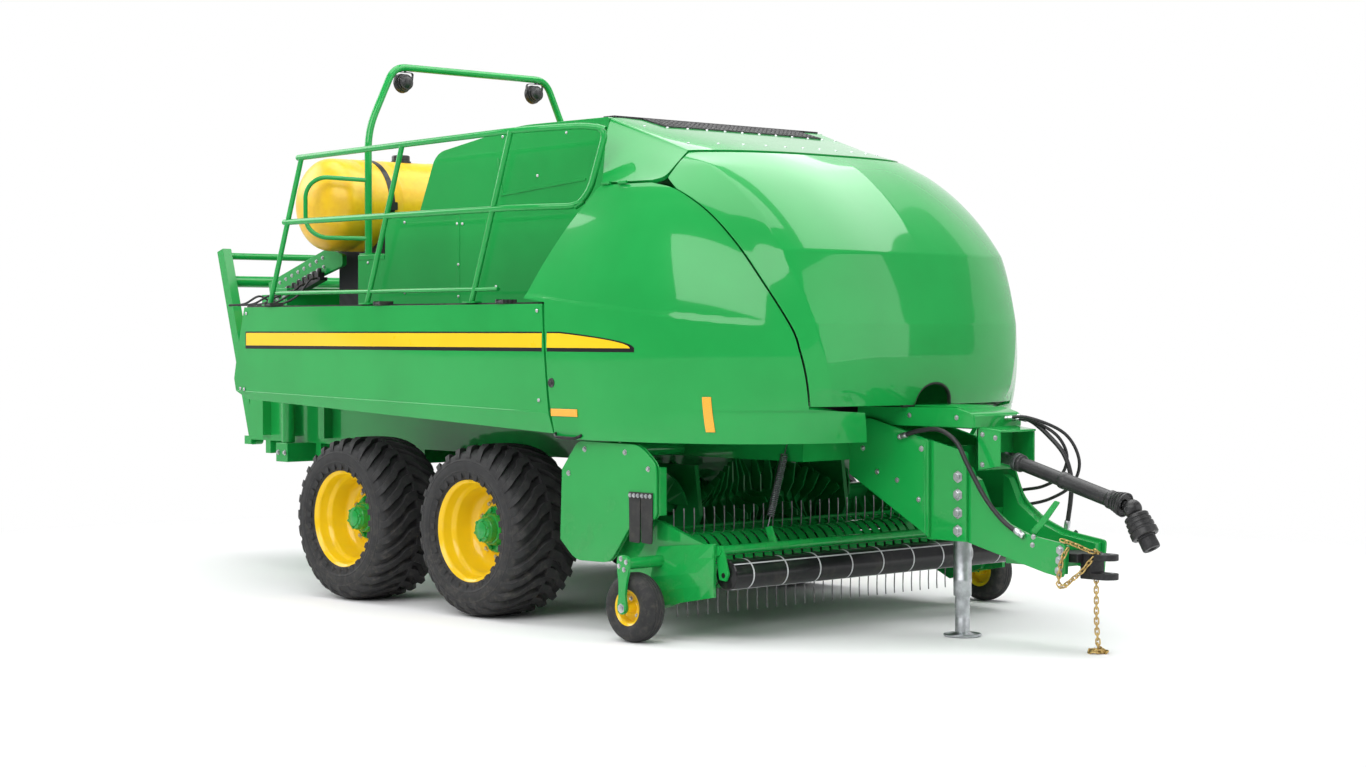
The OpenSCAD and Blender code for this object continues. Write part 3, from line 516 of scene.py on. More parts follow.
def skin_angle(x, z):
    """Angle at which the surface reaches X at a height, by halving the interval forty times."""
    low, high = np.zeros_like(z), np.full_like(z, 130.0)
    for _ in range(40):
        mid = (low + high) / 2
        ahead = body_skin(mid, z)[..., 0] > x
        low, high = np.where(ahead, mid, low), np.where(ahead, high, mid)
    return (low + high) / 2


def grid_normals(g):
    """Unit normal at each grid point: the cross product of the two grid directions."""
    return unit(np.cross(np.gradient(g, axis=0), np.gradient(g, axis=1)))


def outward(grid, inside=(1000.0, 0.0, 1500.0)):
    """The grid with its rows turned over where its normals would point at the inside."""
    away = (grid_normals(grid) * (grid - np.asarray(inside))).sum()
    return grid if away > 0 else grid[::-1]


def thick(grid, depth, lift=0.0):
    """A panel of even thickness: the grid raised by lift, its copy depth further in, and a rim."""
    grid = outward(grid)
    n = grid_normals(grid)
    rows, cols = grid.shape[:2]
    both = np.stack([grid + lift * n, grid + (lift - depth) * n])
    top = quads(rows, cols)
    k = rows * cols
    last = (rows - 1) * cols
    edge = np.concatenate([np.arange(cols), np.arange(1, rows) * cols + cols - 1,
                           last + np.arange(cols - 2, -1, -1), np.arange(rows - 2, 0, -1) * cols])
    nxt = np.roll(edge, -1)
    rim = np.stack([edge, nxt, nxt + k, edge + k], -1)
    return both, np.concatenate([top, top[:, ::-1] + k, rim])


def soften(obj, width, segments=2):
    """A small bevel on every sharp edge, as a pressed or sawn edge has."""
    bevel = obj.modifiers.new("soft_edges", "BEVEL")
    bevel.width = width / 1000
    bevel.segments = segments
    bevel.limit_method = "ANGLE"
    bevel.angle_limit = math.radians(40)
    return obj


def step(x, low, high):
    """0 below low, 1 above high, with a smooth rise."""
    t = np.clip((x - low) / (high - low), 0, 1)
    return t * t * (3 - 2 * t)


def both_ways(points):
    """A mirror copy on the other side of the machine."""
    return points * [1, -1, 1]


def flip(points, faces, way):
    """A shape of the right side as it is, or mirrored to the left with its faces turned over."""
    if way > 0:
        return points, faces
    return both_ways(np.asarray(points)), [list(f)[::-1] for f in faces]


print("nose tip at", body_skin(0.0, 1550.0))

# %% [markdown]
# Each door hangs from its top edge and covers the side of the nose. A pressed step runs along it
# at stripe height and the sheet above it lies a few millimetres deeper. The seam towards the hood
# is a table of heights and angles, and the rear edge is a table of heights and lengths.

# %% Gull-wing doors
ARCH = through([[1262, 0, 30], [1440, 0, 31], [1580, 0, 32.2], [1700, 0, 33.6], [1940, 0, 38.5],
                [2170, 0, 43.9], [2350, 0, 50.4], [2470, 0, 58.5], [2512, 0, 66]], 8)[:, [0, 2]]
SEAM = np.concatenate([[[1060, 16], [1240, 18]], ARCH])
DOOR_REAR = np.array([[1060, 1365], [1300, 1330], [1850, 1275], [1872, 1085], [2180, 1290], [2512, 1500]])
DOOR_LOW, DOOR_HIGH, SEAM_GAP, SKIN = 1075.0, 2512.0, 0.4, 30.0


def crease_height(x):
    """Height of the pressed step at a length: it falls gently towards the nose."""
    return 1868 - (x - 1275) * 0.105


def door_grid(rows=110, cols=90):
    """Rows run up the door, columns from its rear edge to the seam; above the crease it lies 7 mm in."""
    z = np.unique(np.concatenate([np.linspace(DOOR_LOW, DOOR_HIGH, rows), [1240, 1262, 1850, 1872]]))
    front = np.interp(z, SEAM[:, 0], SEAM[:, 1]) + SEAM_GAP
    rear = skin_angle(np.interp(z, DOOR_REAR[:, 0], DOOR_REAR[:, 1]), z)
    share = np.linspace(0, 1, cols)
    g = outward(body_skin(rear[:, None] + (front - rear)[:, None] * share, z[:, None]))
    above = step(g[..., 2] - crease_height(g[..., 0]), 0, 16) * (1 - step(g[..., 0], 2500, 2760))
    top = 1 - step(g[..., 2], 2400, 2500)
    return g - (7 * above * top)[..., None] * grid_normals(g)


right_door = door_grid()
for side, way in (("right", 1), ("left", -1)):
    shell = Shape().add(*flip(*thick(right_door, SKIN - 4), way))
    panel = make("door_panel_" + side, shell, green_paint, "door_" + side, ["front_door_" + side],
                 angle=50)
    soften(panel, 4)

# %% [markdown]
# The hood is the nose itself. Two soft folds run down it where the front face turns into the
# flanks, and a low ridge runs up its middle. A fold is made by raising the surface in a narrow
# tent along a line: flat sheet on both sides and a clear edge in the gloss.

# %% Nose hood
HOOD_EDGE = np.concatenate([ARCH[ARCH[:, 0] <= 2470], [[2540, 62], [2690, 58.5]]])
FOLD_Y = np.array([[1275, 720], [1330, 740], [1720, 840], [2070, 905], [2690, 915]])
HOOD_LOW, HOOD_HIGH = 1275.0, 2690.0
BROW_Z = 2105.0


def tent(off, wide):
    """1 on the fold line, 0 at the given distance from it, and a hollow curve between."""
    return np.clip(1 - np.abs(off) / wide, 0, 1) ** 2


def hood_grid(rows=150, cols=220):
    """Rows run up from an edge with an arch in its middle, columns from seam to seam; folds are tents."""
    share = np.linspace(1, -1, cols)
    side = np.where(share < 0, -1.0, 1.0)
    notch = 125 * np.sqrt(np.maximum(0, 1 - (share / 0.18) ** 2))
    z = HOOD_LOW + notch + (HOOD_HIGH - HOOD_LOW - notch) * np.linspace(0, 1, rows)[:, None]
    edge = np.interp(z, HOOD_EDGE[:, 0], HOOD_EDGE[:, 1])
    g = body_skin(np.abs(edge * share), z)
    g[..., 1] *= side
    g = outward(g)
    y, z = np.abs(g[..., 1]), g[..., 2]
    fold = np.interp(z, FOLD_Y[:, 0], FOLD_Y[:, 1])
    inner = 1 - step(y, fold - 60, fold + 120)
    reach = np.where(y > fold, 190, 330)
    side_tent = 17 * tent(y - fold, reach) * step(z, 1275, 1380) * (1 - step(z, 2590, 2690))
    brow = 24 * tent(z - BROW_Z, np.where(z > BROW_Z, 380, 300)) * inner
    chin = 6 * tent(z - 1722, 150) * inner
    ridge = 11 * tent(y, 300) * step(z, BROW_Z - 40, BROW_Z + 260) * (1 - step(z, 2600, 2690))
    return g + (side_tent + brow + chin + ridge)[..., None] * grid_normals(g)


hood_skin = hood_grid()
panel = make("hood_panel", Shape().add(*thick(hood_skin, SKIN - 4)), green_paint, "hood", ["hood"],
             angle=50)
soften(panel, 4)

# %% [markdown]
# The side shields are long flat doors with a slight belly and a lower strip that is bent in. One
# grid per shield follows four lines: the top edge, the bend, the bottom edge, and a shallow bulge
# between them that keeps the reflections alive.

# %% Side shields
SHIELD_TOP, SHIELD_Y = 1840.0, 1400.0
REAR_EDGE = np.array([[0.0, -1800, 1840], [0.8, -1920, 1370], [1.0, -1905, 1290], [1.35, -1790, 1235]])
FRONT_EDGE = np.array([[0.0, 1262, 1840], [0.8, 1307, 1345], [1.0, 1318, 1225], [1.35, 1345, 1105]])


def shield_grid(cols=90):
    """Rows run down the shield and 1 is the bend; the strip below it leans in, the face above bellies."""
    v = np.concatenate([np.linspace(0, 0.8, 24), np.linspace(0.83, 0.985, 6), [0.995, 1.0, 1.01],
                        np.linspace(1.03, 1.35, 8)])
    rear = np.stack([np.interp(v, REAR_EDGE[:, 0], REAR_EDGE[:, k]) for k in (1, 2)], -1)
    front = np.stack([np.interp(v, FRONT_EDGE[:, 0], FRONT_EDGE[:, k]) for k in (1, 2)], -1)
    u = np.linspace(0, 1, cols)[None, :, None]
    xz = rear[:, None] + (front - rear)[:, None] * u
    inward = np.where(v > 1, 4 + (v - 1) * 50, 6 * (2 * np.clip(v, 0, 1) - 1) ** 2)
    y = -(SHIELD_Y - inward[:, None] - 0 * xz[..., 0])
    return np.stack([xz[..., 0], y, xz[..., 1]], -1)


right_shield = shield_grid()
for side, way in (("right", 1), ("left", -1)):
    shell = Shape().add(*flip(*thick(right_shield, SKIN - 6), way))
    panel = make("shield_panel_" + side, shell, green_paint, "shield_" + side, ["rear_shield_" + side],
                 angle=24)
    soften(panel, 3)

# %% [markdown]
# A yellow band with a black outline runs along the shields and ends as a blade on the doors. It is
# a film stuck on the sheet, so it is cut from the same grids and lifted by half a millimetre. The
# black film lies under the yellow one and shows as its outline.

# %% Yellow band


def shield_film(x0, x1, low, high, lift, cols=60):
    """A strip of the shield's face between two heights, lifted off it."""
    x = np.linspace(x0, x1, cols)
    z = np.linspace(0, 1, 5)[:, None]
    zz = low(x) + (high(x) - low(x)) * z
    v = np.clip((SHIELD_TOP - zz) / (SHIELD_TOP - 1258), 0, 1)
    y = -(SHIELD_Y - 6 * (2 * v - 1) ** 2) - lift
    return thick(np.stack([np.broadcast_to(x, zz.shape), y, zz], -1), 1.2)


def door_film(x0, x1, low, high, lift, cols=60):
    """A strip of the door's face between two heights, lifted off it."""
    x = np.linspace(x0, x1, cols)
    z = np.linspace(0, 1, 5)[:, None]
    zz = low(x) + (high(x) - low(x)) * z
    angle = skin_angle(np.broadcast_to(x, zz.shape), zz)
    return thick(body_skin(angle, zz), 1.2, lift)


def taper(x0, x1):
    """1 at x0, falling to 0 at x1 as a blade's curved back does."""
    return lambda x: np.sqrt(np.clip((x1 - x) / (x1 - x0), 0.0004, 1))


BAND_LOW, BAND_HIGH, BLADE_TIP = 1590.0, 1672.0, 1990.0
blade = taper(1420.0, BLADE_TIP)
outline = taper(1420.0, BLADE_TIP + 30)
BANDS = (("outline", black_paint, "frame_dark", outline, 8, 30, 22, 9, 0.6),
         ("band", yellow_paint, "wheel_yellow", blade, 0, 0, 0, 0, 1.1))
for side, way in (("right", 1), ("left", -1)):
    for name, finish, slot, edge, rear, tip, low, high, lift in BANDS:
        bottom, top = BAND_LOW - low, BAND_HIGH + high
        film = shield_film(-1770 - rear, 1268, lambda x: bottom + 0 * x, lambda x: top + 0 * x, lift)
        layer = Shape().add(*flip(*film, way))
        make("shield_%s_%s" % (name, side), layer, finish, "shield_" + side)
        film = door_film(1312, BLADE_TIP + tip, lambda x: bottom + 0 * x,
                         lambda x: BAND_LOW + (top - BAND_LOW) * edge(x), lift)
        layer = Shape().add(*flip(*film, way))
        make("door_%s_%s" % (name, side), layer, finish, "door_" + side)

# %% [markdown]
# Behind the hood a riveted cowl slopes up to the roof. Its front line follows the hood's rear edge
# and its rear line follows the roof, so the sheet between them is a ruled surface: each point
# lies a share of the way from one line to the other. A mesh band lies across the top edge.

# %% Cowl and vent band


def cowl_grid(rows=16):
    """Ruled surface from the hood's edge to the roof's edge: right side, across, then left side."""
    front_side = np.array([[66.5, 2528], [63.0, 2550], [60.9, 2620], [59.2, 2690]])
    low = body_skin(front_side[:, 0], front_side[:, 1])
    turn = np.linspace(57.5, -57.5, 9)
    top = body_skin(np.abs(turn), 2704.0)
    top[:, 1] *= np.where(turn < 0, -1, 1)
    rear_start = body_skin(skin_angle(np.array([1500.0]), np.array([2528.0])), np.array([2528.0]))
    high = np.concatenate([rear_start, [[1430, -1070, 2640], [1350, -985, 2780], [1292, -905, 2895]]])
    roof = np.stack([np.full(9, 1292.0), np.linspace(-860, 860, 9), np.full(9, 2926.0)], -1)
    front = np.concatenate([low, top, both_ways(low[::-1])])
    rear = np.concatenate([high, roof, both_ways(high[::-1])])
    front, rear = through(front, 6), through(rear, 6)
    t = np.linspace(0, 1, rows)[:, None, None]
    return front + (rear - front) * t


cowl_skin = outward(cowl_grid())
cowl = Shape().add(*thick(cowl_skin, SKIN - 6))
for x in (1550, 1690):
    for s in (-1, 1):
        cowl.add(*tube([[x - 34, s * 1160, 2521], [x + 34, s * 1160, 2521]], 9, 12))
soften(make("cowl_panel", cowl, green_paint, "chassis", ["cowl"], angle=45), 3)
strip = outward(cowl_grid(29)[21:, 30:-30])
mesh = Shape().add(*thick(strip, 8, 4))
lift = strip + 7 * grid_normals(strip)
for row in lift:
    mesh.add(*tube(row, 2.6, 5))
for col in np.swapaxes(lift, 0, 1):
    mesh.add(*tube(col, 2.6, 5))
make("cowl_mesh", mesh, black_plastic, "chassis", angle=40)
print("cowl spans", cowl_skin.reshape(-1, 3).min(0), cowl_skin.reshape(-1, 3).max(0))


def rivet(size):
    """A low dome with a rim, standing on z = 0."""
    rows = [(1.0, -0.1), (1.0, 0.18), (0.82, 0.38), (0.45, 0.52)]
    a = np.linspace(0, 2 * np.pi, 10, endpoint=False)
    circle = np.stack([np.cos(a), np.sin(a)], -1)
    pts = np.concatenate([np.column_stack([size * k * circle, np.full(10, size * h)]) for k, h in rows])
    return pts, quads(len(rows), 10, False, True)[:, ::-1].tolist() + [list(range(30, 40))]


def on_grid(grid, u, v):
    """Points and normals of a grid at given row and column numbers."""
    n = grid_normals(grid)
    return grid[u, v], n[u, v]


rows_at = np.array([4, 12])
cols_at = np.arange(26, 72, 4)
u, v = np.meshgrid(rows_at, cols_at, indexing="ij")
spots, lean = on_grid(cowl_skin, u.ravel(), v.ravel())
make("cowl_rivets", Shape().add(*scatter(rivet(9), spots, lean)), zinc, "chassis",
     angle=60)

# %% [markdown]
# The tandem tyres are wide flotation tyres. Their carcass is a smooth profile turned about the
# axle, with moulded rings on the sidewall. The tread is two rows of swept lugs that meet in a
# zigzag at the middle: each lug is a small grid, and all lugs of a tyre are one array.

# %% Tyres
LUG_COUNT = 28
WHEELS = {"fr": (642, -1), "rr": (-642, -1), "fl": (642, 1), "rl": (-642, 1)}
WHEEL_Y, AXLE_Z = 1214.0, 510.0
WALL_LINE = np.array([[286.2, 192], [296, 212], [309, 225], [322, 233], [345, 242], [376, 249],
                      [405, 247], [432, 240], [455, 226], [470, 190], [479, 140], [483, 70], [484, 0]])


def tyre_profile():
    """Half a carcass as a smooth line from bead to crown with four raised rings, then mirrored."""
    line = through(WALL_LINE, 7)
    rings = sum(3.0 * np.exp(-((line[:, 0] - r) / 2.2) ** 2) for r in (318, 352, 358, 418))
    line[:, 1] += rings
    return np.concatenate([line, line[-2::-1] * [1, -1]])


def lug_rows(hand):
    """Lugs of one half: rows run from the middle over the shoulder, columns across the lug."""
    p = np.array([0.0, 0.12, 0.26, 0.36, 0.46, 0.56, 0.68, 0.80, 0.90, 0.97, 1.0])
    y = np.array([-8.0, 28, 62, 86, 110, 134, 163, 192, 216, 234, 243])
    top = np.array([509.6, 509.6, 509.2, 508.5, 507.0, 505.0, 501.5, 496, 486, 462, 437])
    base = np.interp(y, WALL_LINE[::-1, 1][0:10], WALL_LINE[::-1, 0][0:10]) - 14
    sweep = 9 * p + 3.6 * step(p, 0.30, 0.52) + 9 * p ** 2.2
    wide = 360 / LUG_COUNT * np.interp(p, [0, 0.3, 0.5, 1], [0.62, 0.66, 0.60, 0.46])
    across = np.array([-0.5, -0.46, -0.40, 0.40, 0.46, 0.5])
    depth = np.array([0.0, 0.82, 1.0, 1.0, 0.82, 0.0])
    start = (np.arange(LUG_COUNT) + (0.5 if hand < 0 else 0.0)) * 360 / LUG_COUNT
    angle = np.radians(start[:, None, None] + sweep[None, :, None] + wide[None, :, None] * across)
    r = base[None, :, None] + (top - base)[None, :, None] * depth
    yy = np.broadcast_to(hand * y[None, :, None], angle.shape)
    return np.stack([r * np.sin(angle), yy, r * np.cos(angle)], -1)


def lug_faces(count, rows, cols, hand):
    """Skin of each lug and a cap at both of its ends."""
    caps = [list(range(cols)), list(range((rows - 1) * cols, rows * cols))[::-1]]
    one = quads(rows, cols)[:, ::-1].tolist() + caps
    one = [f if hand > 0 else f[::-1] for f in one]
    return [[i + k * rows * cols for i in f] for k in range(count) for f in one]


for key, (x, s) in WHEELS.items():
    centre = np.array([x, s * WHEEL_Y, AXLE_Z])
    shape = Shape().add(*turned(tyre_profile(), centre, (0, s, 0), 120))
    for hand in (1, -1):
        lugs = lug_rows(hand)
        shape.add(lugs + centre, lug_faces(*lugs.shape[:3], hand))
    make("tyre_dressed_" + key, shape, tyre_rubber, "wheel_" + key, ["tyre_" + key], angle=38)

# %% [markdown]
# A flotation rim is a deep dish: a rolled lip, a ledge for the bead, a narrower well, and a disc
# set far in that carries the hub. The hub is a green casting with a ring of nuts and a cap.

# %% Rims and hubs
RIM_LINE = [[286, -214], [300, -214], [303, -208], [300, -204], [286, -190], [266, -150], [262, -40],
            [252, -8], [215, -18], [190, -28], [165, -20], [146, -6], [140, 2], [150, 6], [168, -4],
            [192, -14], [218, -6], [240, 10], [249, 30], [250, 112], [254, 124], [268, 138], [274, 146],
            [277, 190], [280, 200], [287, 208], [296, 213], [301, 219], [304.5, 216], [304, 210],
            [298, 203], [287, 196], [284.6, 190], [284.6, -190]]
HUB_LINE = [[0, -30], [138, -20], [138, 14], [134, 18], [104, 19], [96, 24], [90, 60], [86, 66], [78, 68],
            [76, 108], [72, 112], [70, 120], [66, 126], [52, 129], [50, 137], [44, 140], [0, 140]]


def hex_bolt(width, height):
    """A hexagon head with a chamfered top on a wider flange, standing on z = 0."""
    a = np.radians(np.arange(6) * 60.0)
    six = np.stack([np.cos(a), np.sin(a)], -1) * width / math.sqrt(3)
    flange = 1.35 * 1.15
    shares = [(flange, 0.14), (1.0, 0.16), (1.0, 0.86), (0.86, 1)]
    rows = [(flange, -0.6)] + [(k, share * height) for k, share in shares]
    pts = np.concatenate([np.column_stack([six * k, np.full(6, h)]) for k, h in rows])
    sides = quads(len(rows), 6, False, True)[:, ::-1].tolist()
    return pts, sides + [list(range(len(rows) * 6 - 6, len(rows) * 6))]


def circle_of(count, radius, centre, start=0.0):
    """Evenly spaced points on a circle about an axis that lies along Y."""
    a = start + np.linspace(0, 2 * np.pi, count, endpoint=False)
    return np.asarray(centre, float) + np.stack([radius * np.cos(a), 0 * a, radius * np.sin(a)], -1)


for key, (x, s) in WHEELS.items():
    centre = np.array([x, s * WHEEL_Y, AXLE_Z])
    out = np.array([0, s, 0.0])
    rim = Shape().add(*turned(RIM_LINE + RIM_LINE[:1], centre, out, 96))
    make("rim_" + key, rim, yellow_paint, "wheel_" + key, ["wheel_" + key], angle=40)
    hub = Shape().add(*turned(HUB_LINE, centre, out, 48))
    hub.add(*scatter(hex_bolt(26, 20), circle_of(10, 117, centre + out * 18), out))
    hub.add(*scatter(hex_bolt(13, 8), circle_of(6, 61, centre + out * 127, 0.3), out))
    make("hub_" + key, hub, green_paint, "wheel_" + key, angle=35)
    studs = Shape().add(*scatter(hex_bolt(22, 16), circle_of(10, 166, centre + out * -4, 0.2), out))
    make("rim_nuts_" + key, studs, zinc, "wheel_" + key, angle=30)
    stem = np.array([[200.0, s * -2, 120], [204, s * 22, 122], [214, s * 60, 128]])
    valve = Shape().add(*tube(centre + stem, 5, 8))
    make("valve_" + key, valve, flap_rubber, "wheel_" + key)

# %% [markdown]
# The pickup reel lifts the swath with rows of spring tines. A tine is one steel wire: two turns
# round its bar, then a leg that leans back a little at the tip. One tine is a path with a small
# circle carried along it, and the reel is that tine set down on four bars.

# %% Pickup reel
REEL = np.array([2080.0, 0.0, 400.0])
TINE_COUNT, TINE_R, PICKUP_HALF, BAR_R = 30, 300.0, 1200.0, 120.0
TINE_PITCH = 2 * (PICKUP_HALF - 30) / TINE_COUNT


def tine_path():
    """Wire line in the reel's plane, pointing down: a two-turn coil round the bar, then the leg."""
    a = np.linspace(0, 4 * np.pi, 25)
    coil = np.stack([20 * np.cos(a), -14 + 28 * a / a[-1], -BAR_R + 20 * np.sin(a)], -1)
    h = np.linspace(0.04, 1, 9)
    leg = np.stack([20 - 14 * h + 10 * h ** 3, 14 + 0 * h, -BAR_R - (TINE_R - BAR_R - 1.5) * h], -1)
    return np.concatenate([coil, leg])


def turn_y(points, degrees):
    """Points turned about the Y axis."""
    c, s = math.cos(math.radians(degrees)), math.sin(math.radians(degrees))
    return np.asarray(points) @ np.array([[c, 0, -s], [0, 1, 0], [s, 0, c]])


reel_tines = Shape()
reel_bars = Shape()
tine_y = (np.arange(TINE_COUNT) - TINE_COUNT / 2 + 0.5) * TINE_PITCH
wire, wire_faces = tube(tine_path(), 4.0, 6, side=(0.3, 1.0, 0.2))
for row in range(4):
    one = turn_y(wire, row * 90).reshape(-1, 3)
    pts = one[None] + np.stack([0 * tine_y, tine_y, 0 * tine_y], -1)[:, None] + REEL
    reel_tines.add(pts, [[i + k * len(one) for i in f] for k in range(TINE_COUNT) for f in wire_faces])
    bar = np.array([[0, -PICKUP_HALF + 10, -BAR_R], [0, PICKUP_HALF - 10, -BAR_R]])
    reel_bars.add(*tube(turn_y(bar, row * 90) + REEL, 15, 16, side=(1, 0, 0.3)))
disc_line = [[0, -5], [62, -5], [62, -4], [146, -4], [148, 0], [146, 4], [62, 4], [62, 5], [0, 5]]
core_line = [[0, -1225], [25, -1225], [25, -1201], [60, -1199], [60, 1199], [25, 1201], [25, 1225],
             [0, 1225]]
for y in (-PICKUP_HALF + 40, 0.0, PICKUP_HALF - 40):
    reel_bars.add(*turned(disc_line, REEL + [0, y, 0], (0, 1, 0), 48))
reel_bars.add(*turned(core_line, REEL, (0, 1, 0), 32))
make("reel_tines", reel_tines, tine_steel, "reel", angle=60)
make("reel_core", reel_bars, dark_paint, "reel", ["pickup_reel"])

# %% [markdown]
# The windguard roller is a steel drum wrapped in black sheet. Pale joint lines run round it at
# even steps and three run along it. They are thin raised strips, so they turn with the drum.

# %% Windguard roller
ROLLER = np.array([2540.0, 0.0, 370.0])
drum_line = [[0, -1193], [15, -1193], [15, -1176], [60, -1174], [76, -1172], [81.5, -1166], [81.5, 1166],
             [76, 1172], [60, 1174], [15, 1176], [15, 1193], [0, 1193]]
make("roller_drum", Shape().add(*turned(drum_line, ROLLER, (0, 1, 0), 72)), black_paint, "roller",
     ["windguard_roller"])
pale_strip = moulded("pale_joint_strip", (0.55, 0.56, 0.57), (0.44, 0.45, 0.46), 0.45, 0.1, 0.2)
strips = Shape()
joint_line = [[80.5, -5], [82.3, -4.5], [82.3, 4.5], [80.5, 5]]
for y in np.linspace(-1040, 1040, 9):
    strips.add(*turned(joint_line, ROLLER + [0, y, 0], (0, 1, 0), 72))
for degrees in (48, 168, 288):
    a = math.radians(degrees)
    foot = ROLLER + 81.2 * np.array([math.cos(a), 0, math.sin(a)])
    line = foot + np.array([[0, -1165.0, 0], [0, 1165.0, 0]])
    strips.add(*carry(line, [[-4, -1], [4, -1], [4, 1], [-4, 1]], side=(-math.sin(a), 0, math.cos(a))))
make("roller_strips", strips, pale_strip, "roller")

# %% [markdown]
# Two coil springs carry part of the pickup's weight. A coil is a helix: a circle's angle runs on
# while the centre moves along the axis. Straight hooks at both ends join it to the frame and to
# the windguard.

# %% Float springs


def coil(a, b, radius, turns, wire, per_turn=14):
    """Helix about the line from a to b, with its ends drawn in to the axis as hooks."""
    a, b = np.asarray(a, float), np.asarray(b, float)
    axis = unit(b - a)
    u = unit(np.cross(axis, [0.0, 1.0, 0.0]))
    v = np.cross(axis, u)
    t = np.linspace(0, 1, int(turns * per_turn))
    around = 2 * np.pi * turns * t
    r = radius * step(t, 0, 0.02) * (1 - step(t, 0.98, 1))
    mid = a + (b - a) * (0.12 + 0.76 * t)[:, None]
    line = mid + r[:, None] * (np.cos(around)[:, None] * u + np.sin(around)[:, None] * v)
    line = np.concatenate([[a, a + (b - a) * 0.06], line, [b - (b - a) * 0.06, b]])
    return tube(line, wire, 7, side=unit(np.cross(axis, [0.3, 0.2, 1.0])) + axis * 0.01)


springs = Shape()
for s in (-1, 1):
    springs.add(*coil([2453, s * 767.5, 604], [2440, s * 604, 1056], 19, 34, 3.4))
spring_obj = make("float_springs", springs, spring_steel, "chassis", ["float_spring"],
                  angle=60)
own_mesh(spring_obj)

# %% [markdown]
# The gauge wheels roll beside the pickup and set its height. They have plain ribbed tyres on
# small yellow rims with four bolts.

# %% Gauge wheels
GAUGE = np.array([2140.0, 1470.0, 190.0])
half_tyre = through([[90.5, 44], [97, 58], [110, 67], [128, 73.5], [146, 74], [163, 67], [176, 54],
                     [184, 40]], 6)
crown = np.array([[187.5, 30], [188.8, 24], [186, 21], [186, 18], [189.4, 15], [189.8, 4], [187, 2]])
half_tyre = np.concatenate([half_tyre, crown])
gauge_tyre_line = np.concatenate([half_tyre, half_tyre[::-1] * [1, -1]])
gauge_rim_line = [[12.1, -64], [30, -64], [31, -14], [76, -12], [79, -50], [91, -55], [98, -60],
                  [99.5, -58], [97, -55], [90.2, -44], [90.2, 44], [97, 55], [99.5, 58], [98, 60],
                  [91, 56], [82, 50], [78, 40], [74, 14], [60, 6], [36, 10], [30, 16], [30, 60], [27, 68],
                  [12.1, 70]]
for side, s in (("right", -1), ("left", 1)):
    centre = GAUGE * [1, s, 1]
    out = (0, s, 0)
    make("gauge_tyre_dressed_" + side, Shape().add(*turned(gauge_tyre_line, centre, out, 80)),
         tyre_rubber, "gauge_" + side, ["gauge_tyre_" + side], angle=40)
    rim = Shape().add(*turned(gauge_rim_line + gauge_rim_line[:1], centre, out, 64))
    make("gauge_rim_dressed_" + side, rim, yellow_paint, "gauge_" + side, ["gauge_rim_" + side],
         angle=40)
    bolts = Shape().add(*scatter(hex_bolt(15, 10), circle_of(4, 50, centre + [0, s * 8, 0], 0.5), out))
    make("gauge_bolts_" + side, bolts, zinc, "gauge_" + side, angle=30)

# %% [markdown]
# Guard rails run along both platforms. They are bent from one tube each: the top rail rounds down
# at the front and comes back as the middle rail, leaning posts carry both. Towards the front the
# rail leans in, so that the doors swing up beside it. A circle carried along a path with rounded
# corners gives the soft bends that a tube bender leaves.

# %% Guard rails
RAIL_Y, TURN_X = 1340.0, 1000.0
LOOP = np.array([[-112, 2858], [23, 2830], [-127, 2450], [-232, 2400]])


def rail_line(front):
    """Top rail, front loop and middle rail; past TURN_X they lean in by 0.313 of the length."""
    turn = front > TURN_X
    rows = [[[-1250, 2800]], [[TURN_X, 2846]] * turn, LOOP + [front, 0], [[TURN_X, 2398]] * turn,
            [[-1410, 2390]]]
    line = np.concatenate([r for r in rows if len(r)])
    lean = 0.313 * np.maximum(0, line[:, 0] - TURN_X)
    bends = [180] * turn + [100, 64, 100, 56] + [180] * turn
    return rounded(np.stack([line[:, 0] - 1.04 * lean, RAIL_Y - lean, line[:, 1]], -1), bends, 10)


rails = Shape()
for s, front, last_post in ((-1, 1712, 550), (1, 945, 300)):
    rails.add(*tube(rail_line(front) * [1, s, 1], 19, 16, side=(0, 1, 0)))
    rails.add(*tube([[-1500, s * RAIL_Y, 1930], [last_post + 250, s * RAIL_Y, 1930]], 13, 12,
                    side=(0, 1, 0)))
    for x in (-1580, -500, last_post):
        top = np.interp(x + 370, [-1250, front - 172], [2800, 2857])
        rails.add(*tube([[x, s * RAIL_Y, 1852], [x + 370, s * RAIL_Y, top]], 17, 14, side=(0, 1, 0)))
        rails.add(*plate(rounded_box(120, 60, 10), [x + 4, s * RAIL_Y, 1850], (1, 0, 0), (0, 1, 0), 9))
make("guard_rails", rails, green_paint, "chassis", ["rails"], angle=40)

# %% [markdown]
# The lamp hoop is one more bent tube, across the machine. It stands on two foot plates behind the
# housing and carries the work lamps.

# %% Lamp hoop
HOOP_X = -1150.0
STEP_TOP = 2184.0
HOOP = np.array([[-860, STEP_TOP], [-860, 3000], [-650, 3430], [650, 3430], [860, 3000], [860, STEP_TOP]],
                float)
hoop_path = rounded(np.column_stack([0 * HOOP[:, 0] + HOOP_X, HOOP]), [130, 95, 95, 130], 10)
hoop = Shape().add(*tube(hoop_path, 24, 18, side=(1, 0, 0)))
for s in (-1, 1):
    hoop.add(*plate(rounded_box(130, 110, 12), [HOOP_X, s * 836, STEP_TOP], (1, 0, 0), (0, 1, 0), 10))
make("lamp_hoop", hoop, green_paint, "chassis", ["light_hoop"], angle=40)

# %% [markdown]
# Two work lamps hang under the hoop. Each is a round black housing with cooling fins behind and
# a clear lens in front, on a bolted yoke.

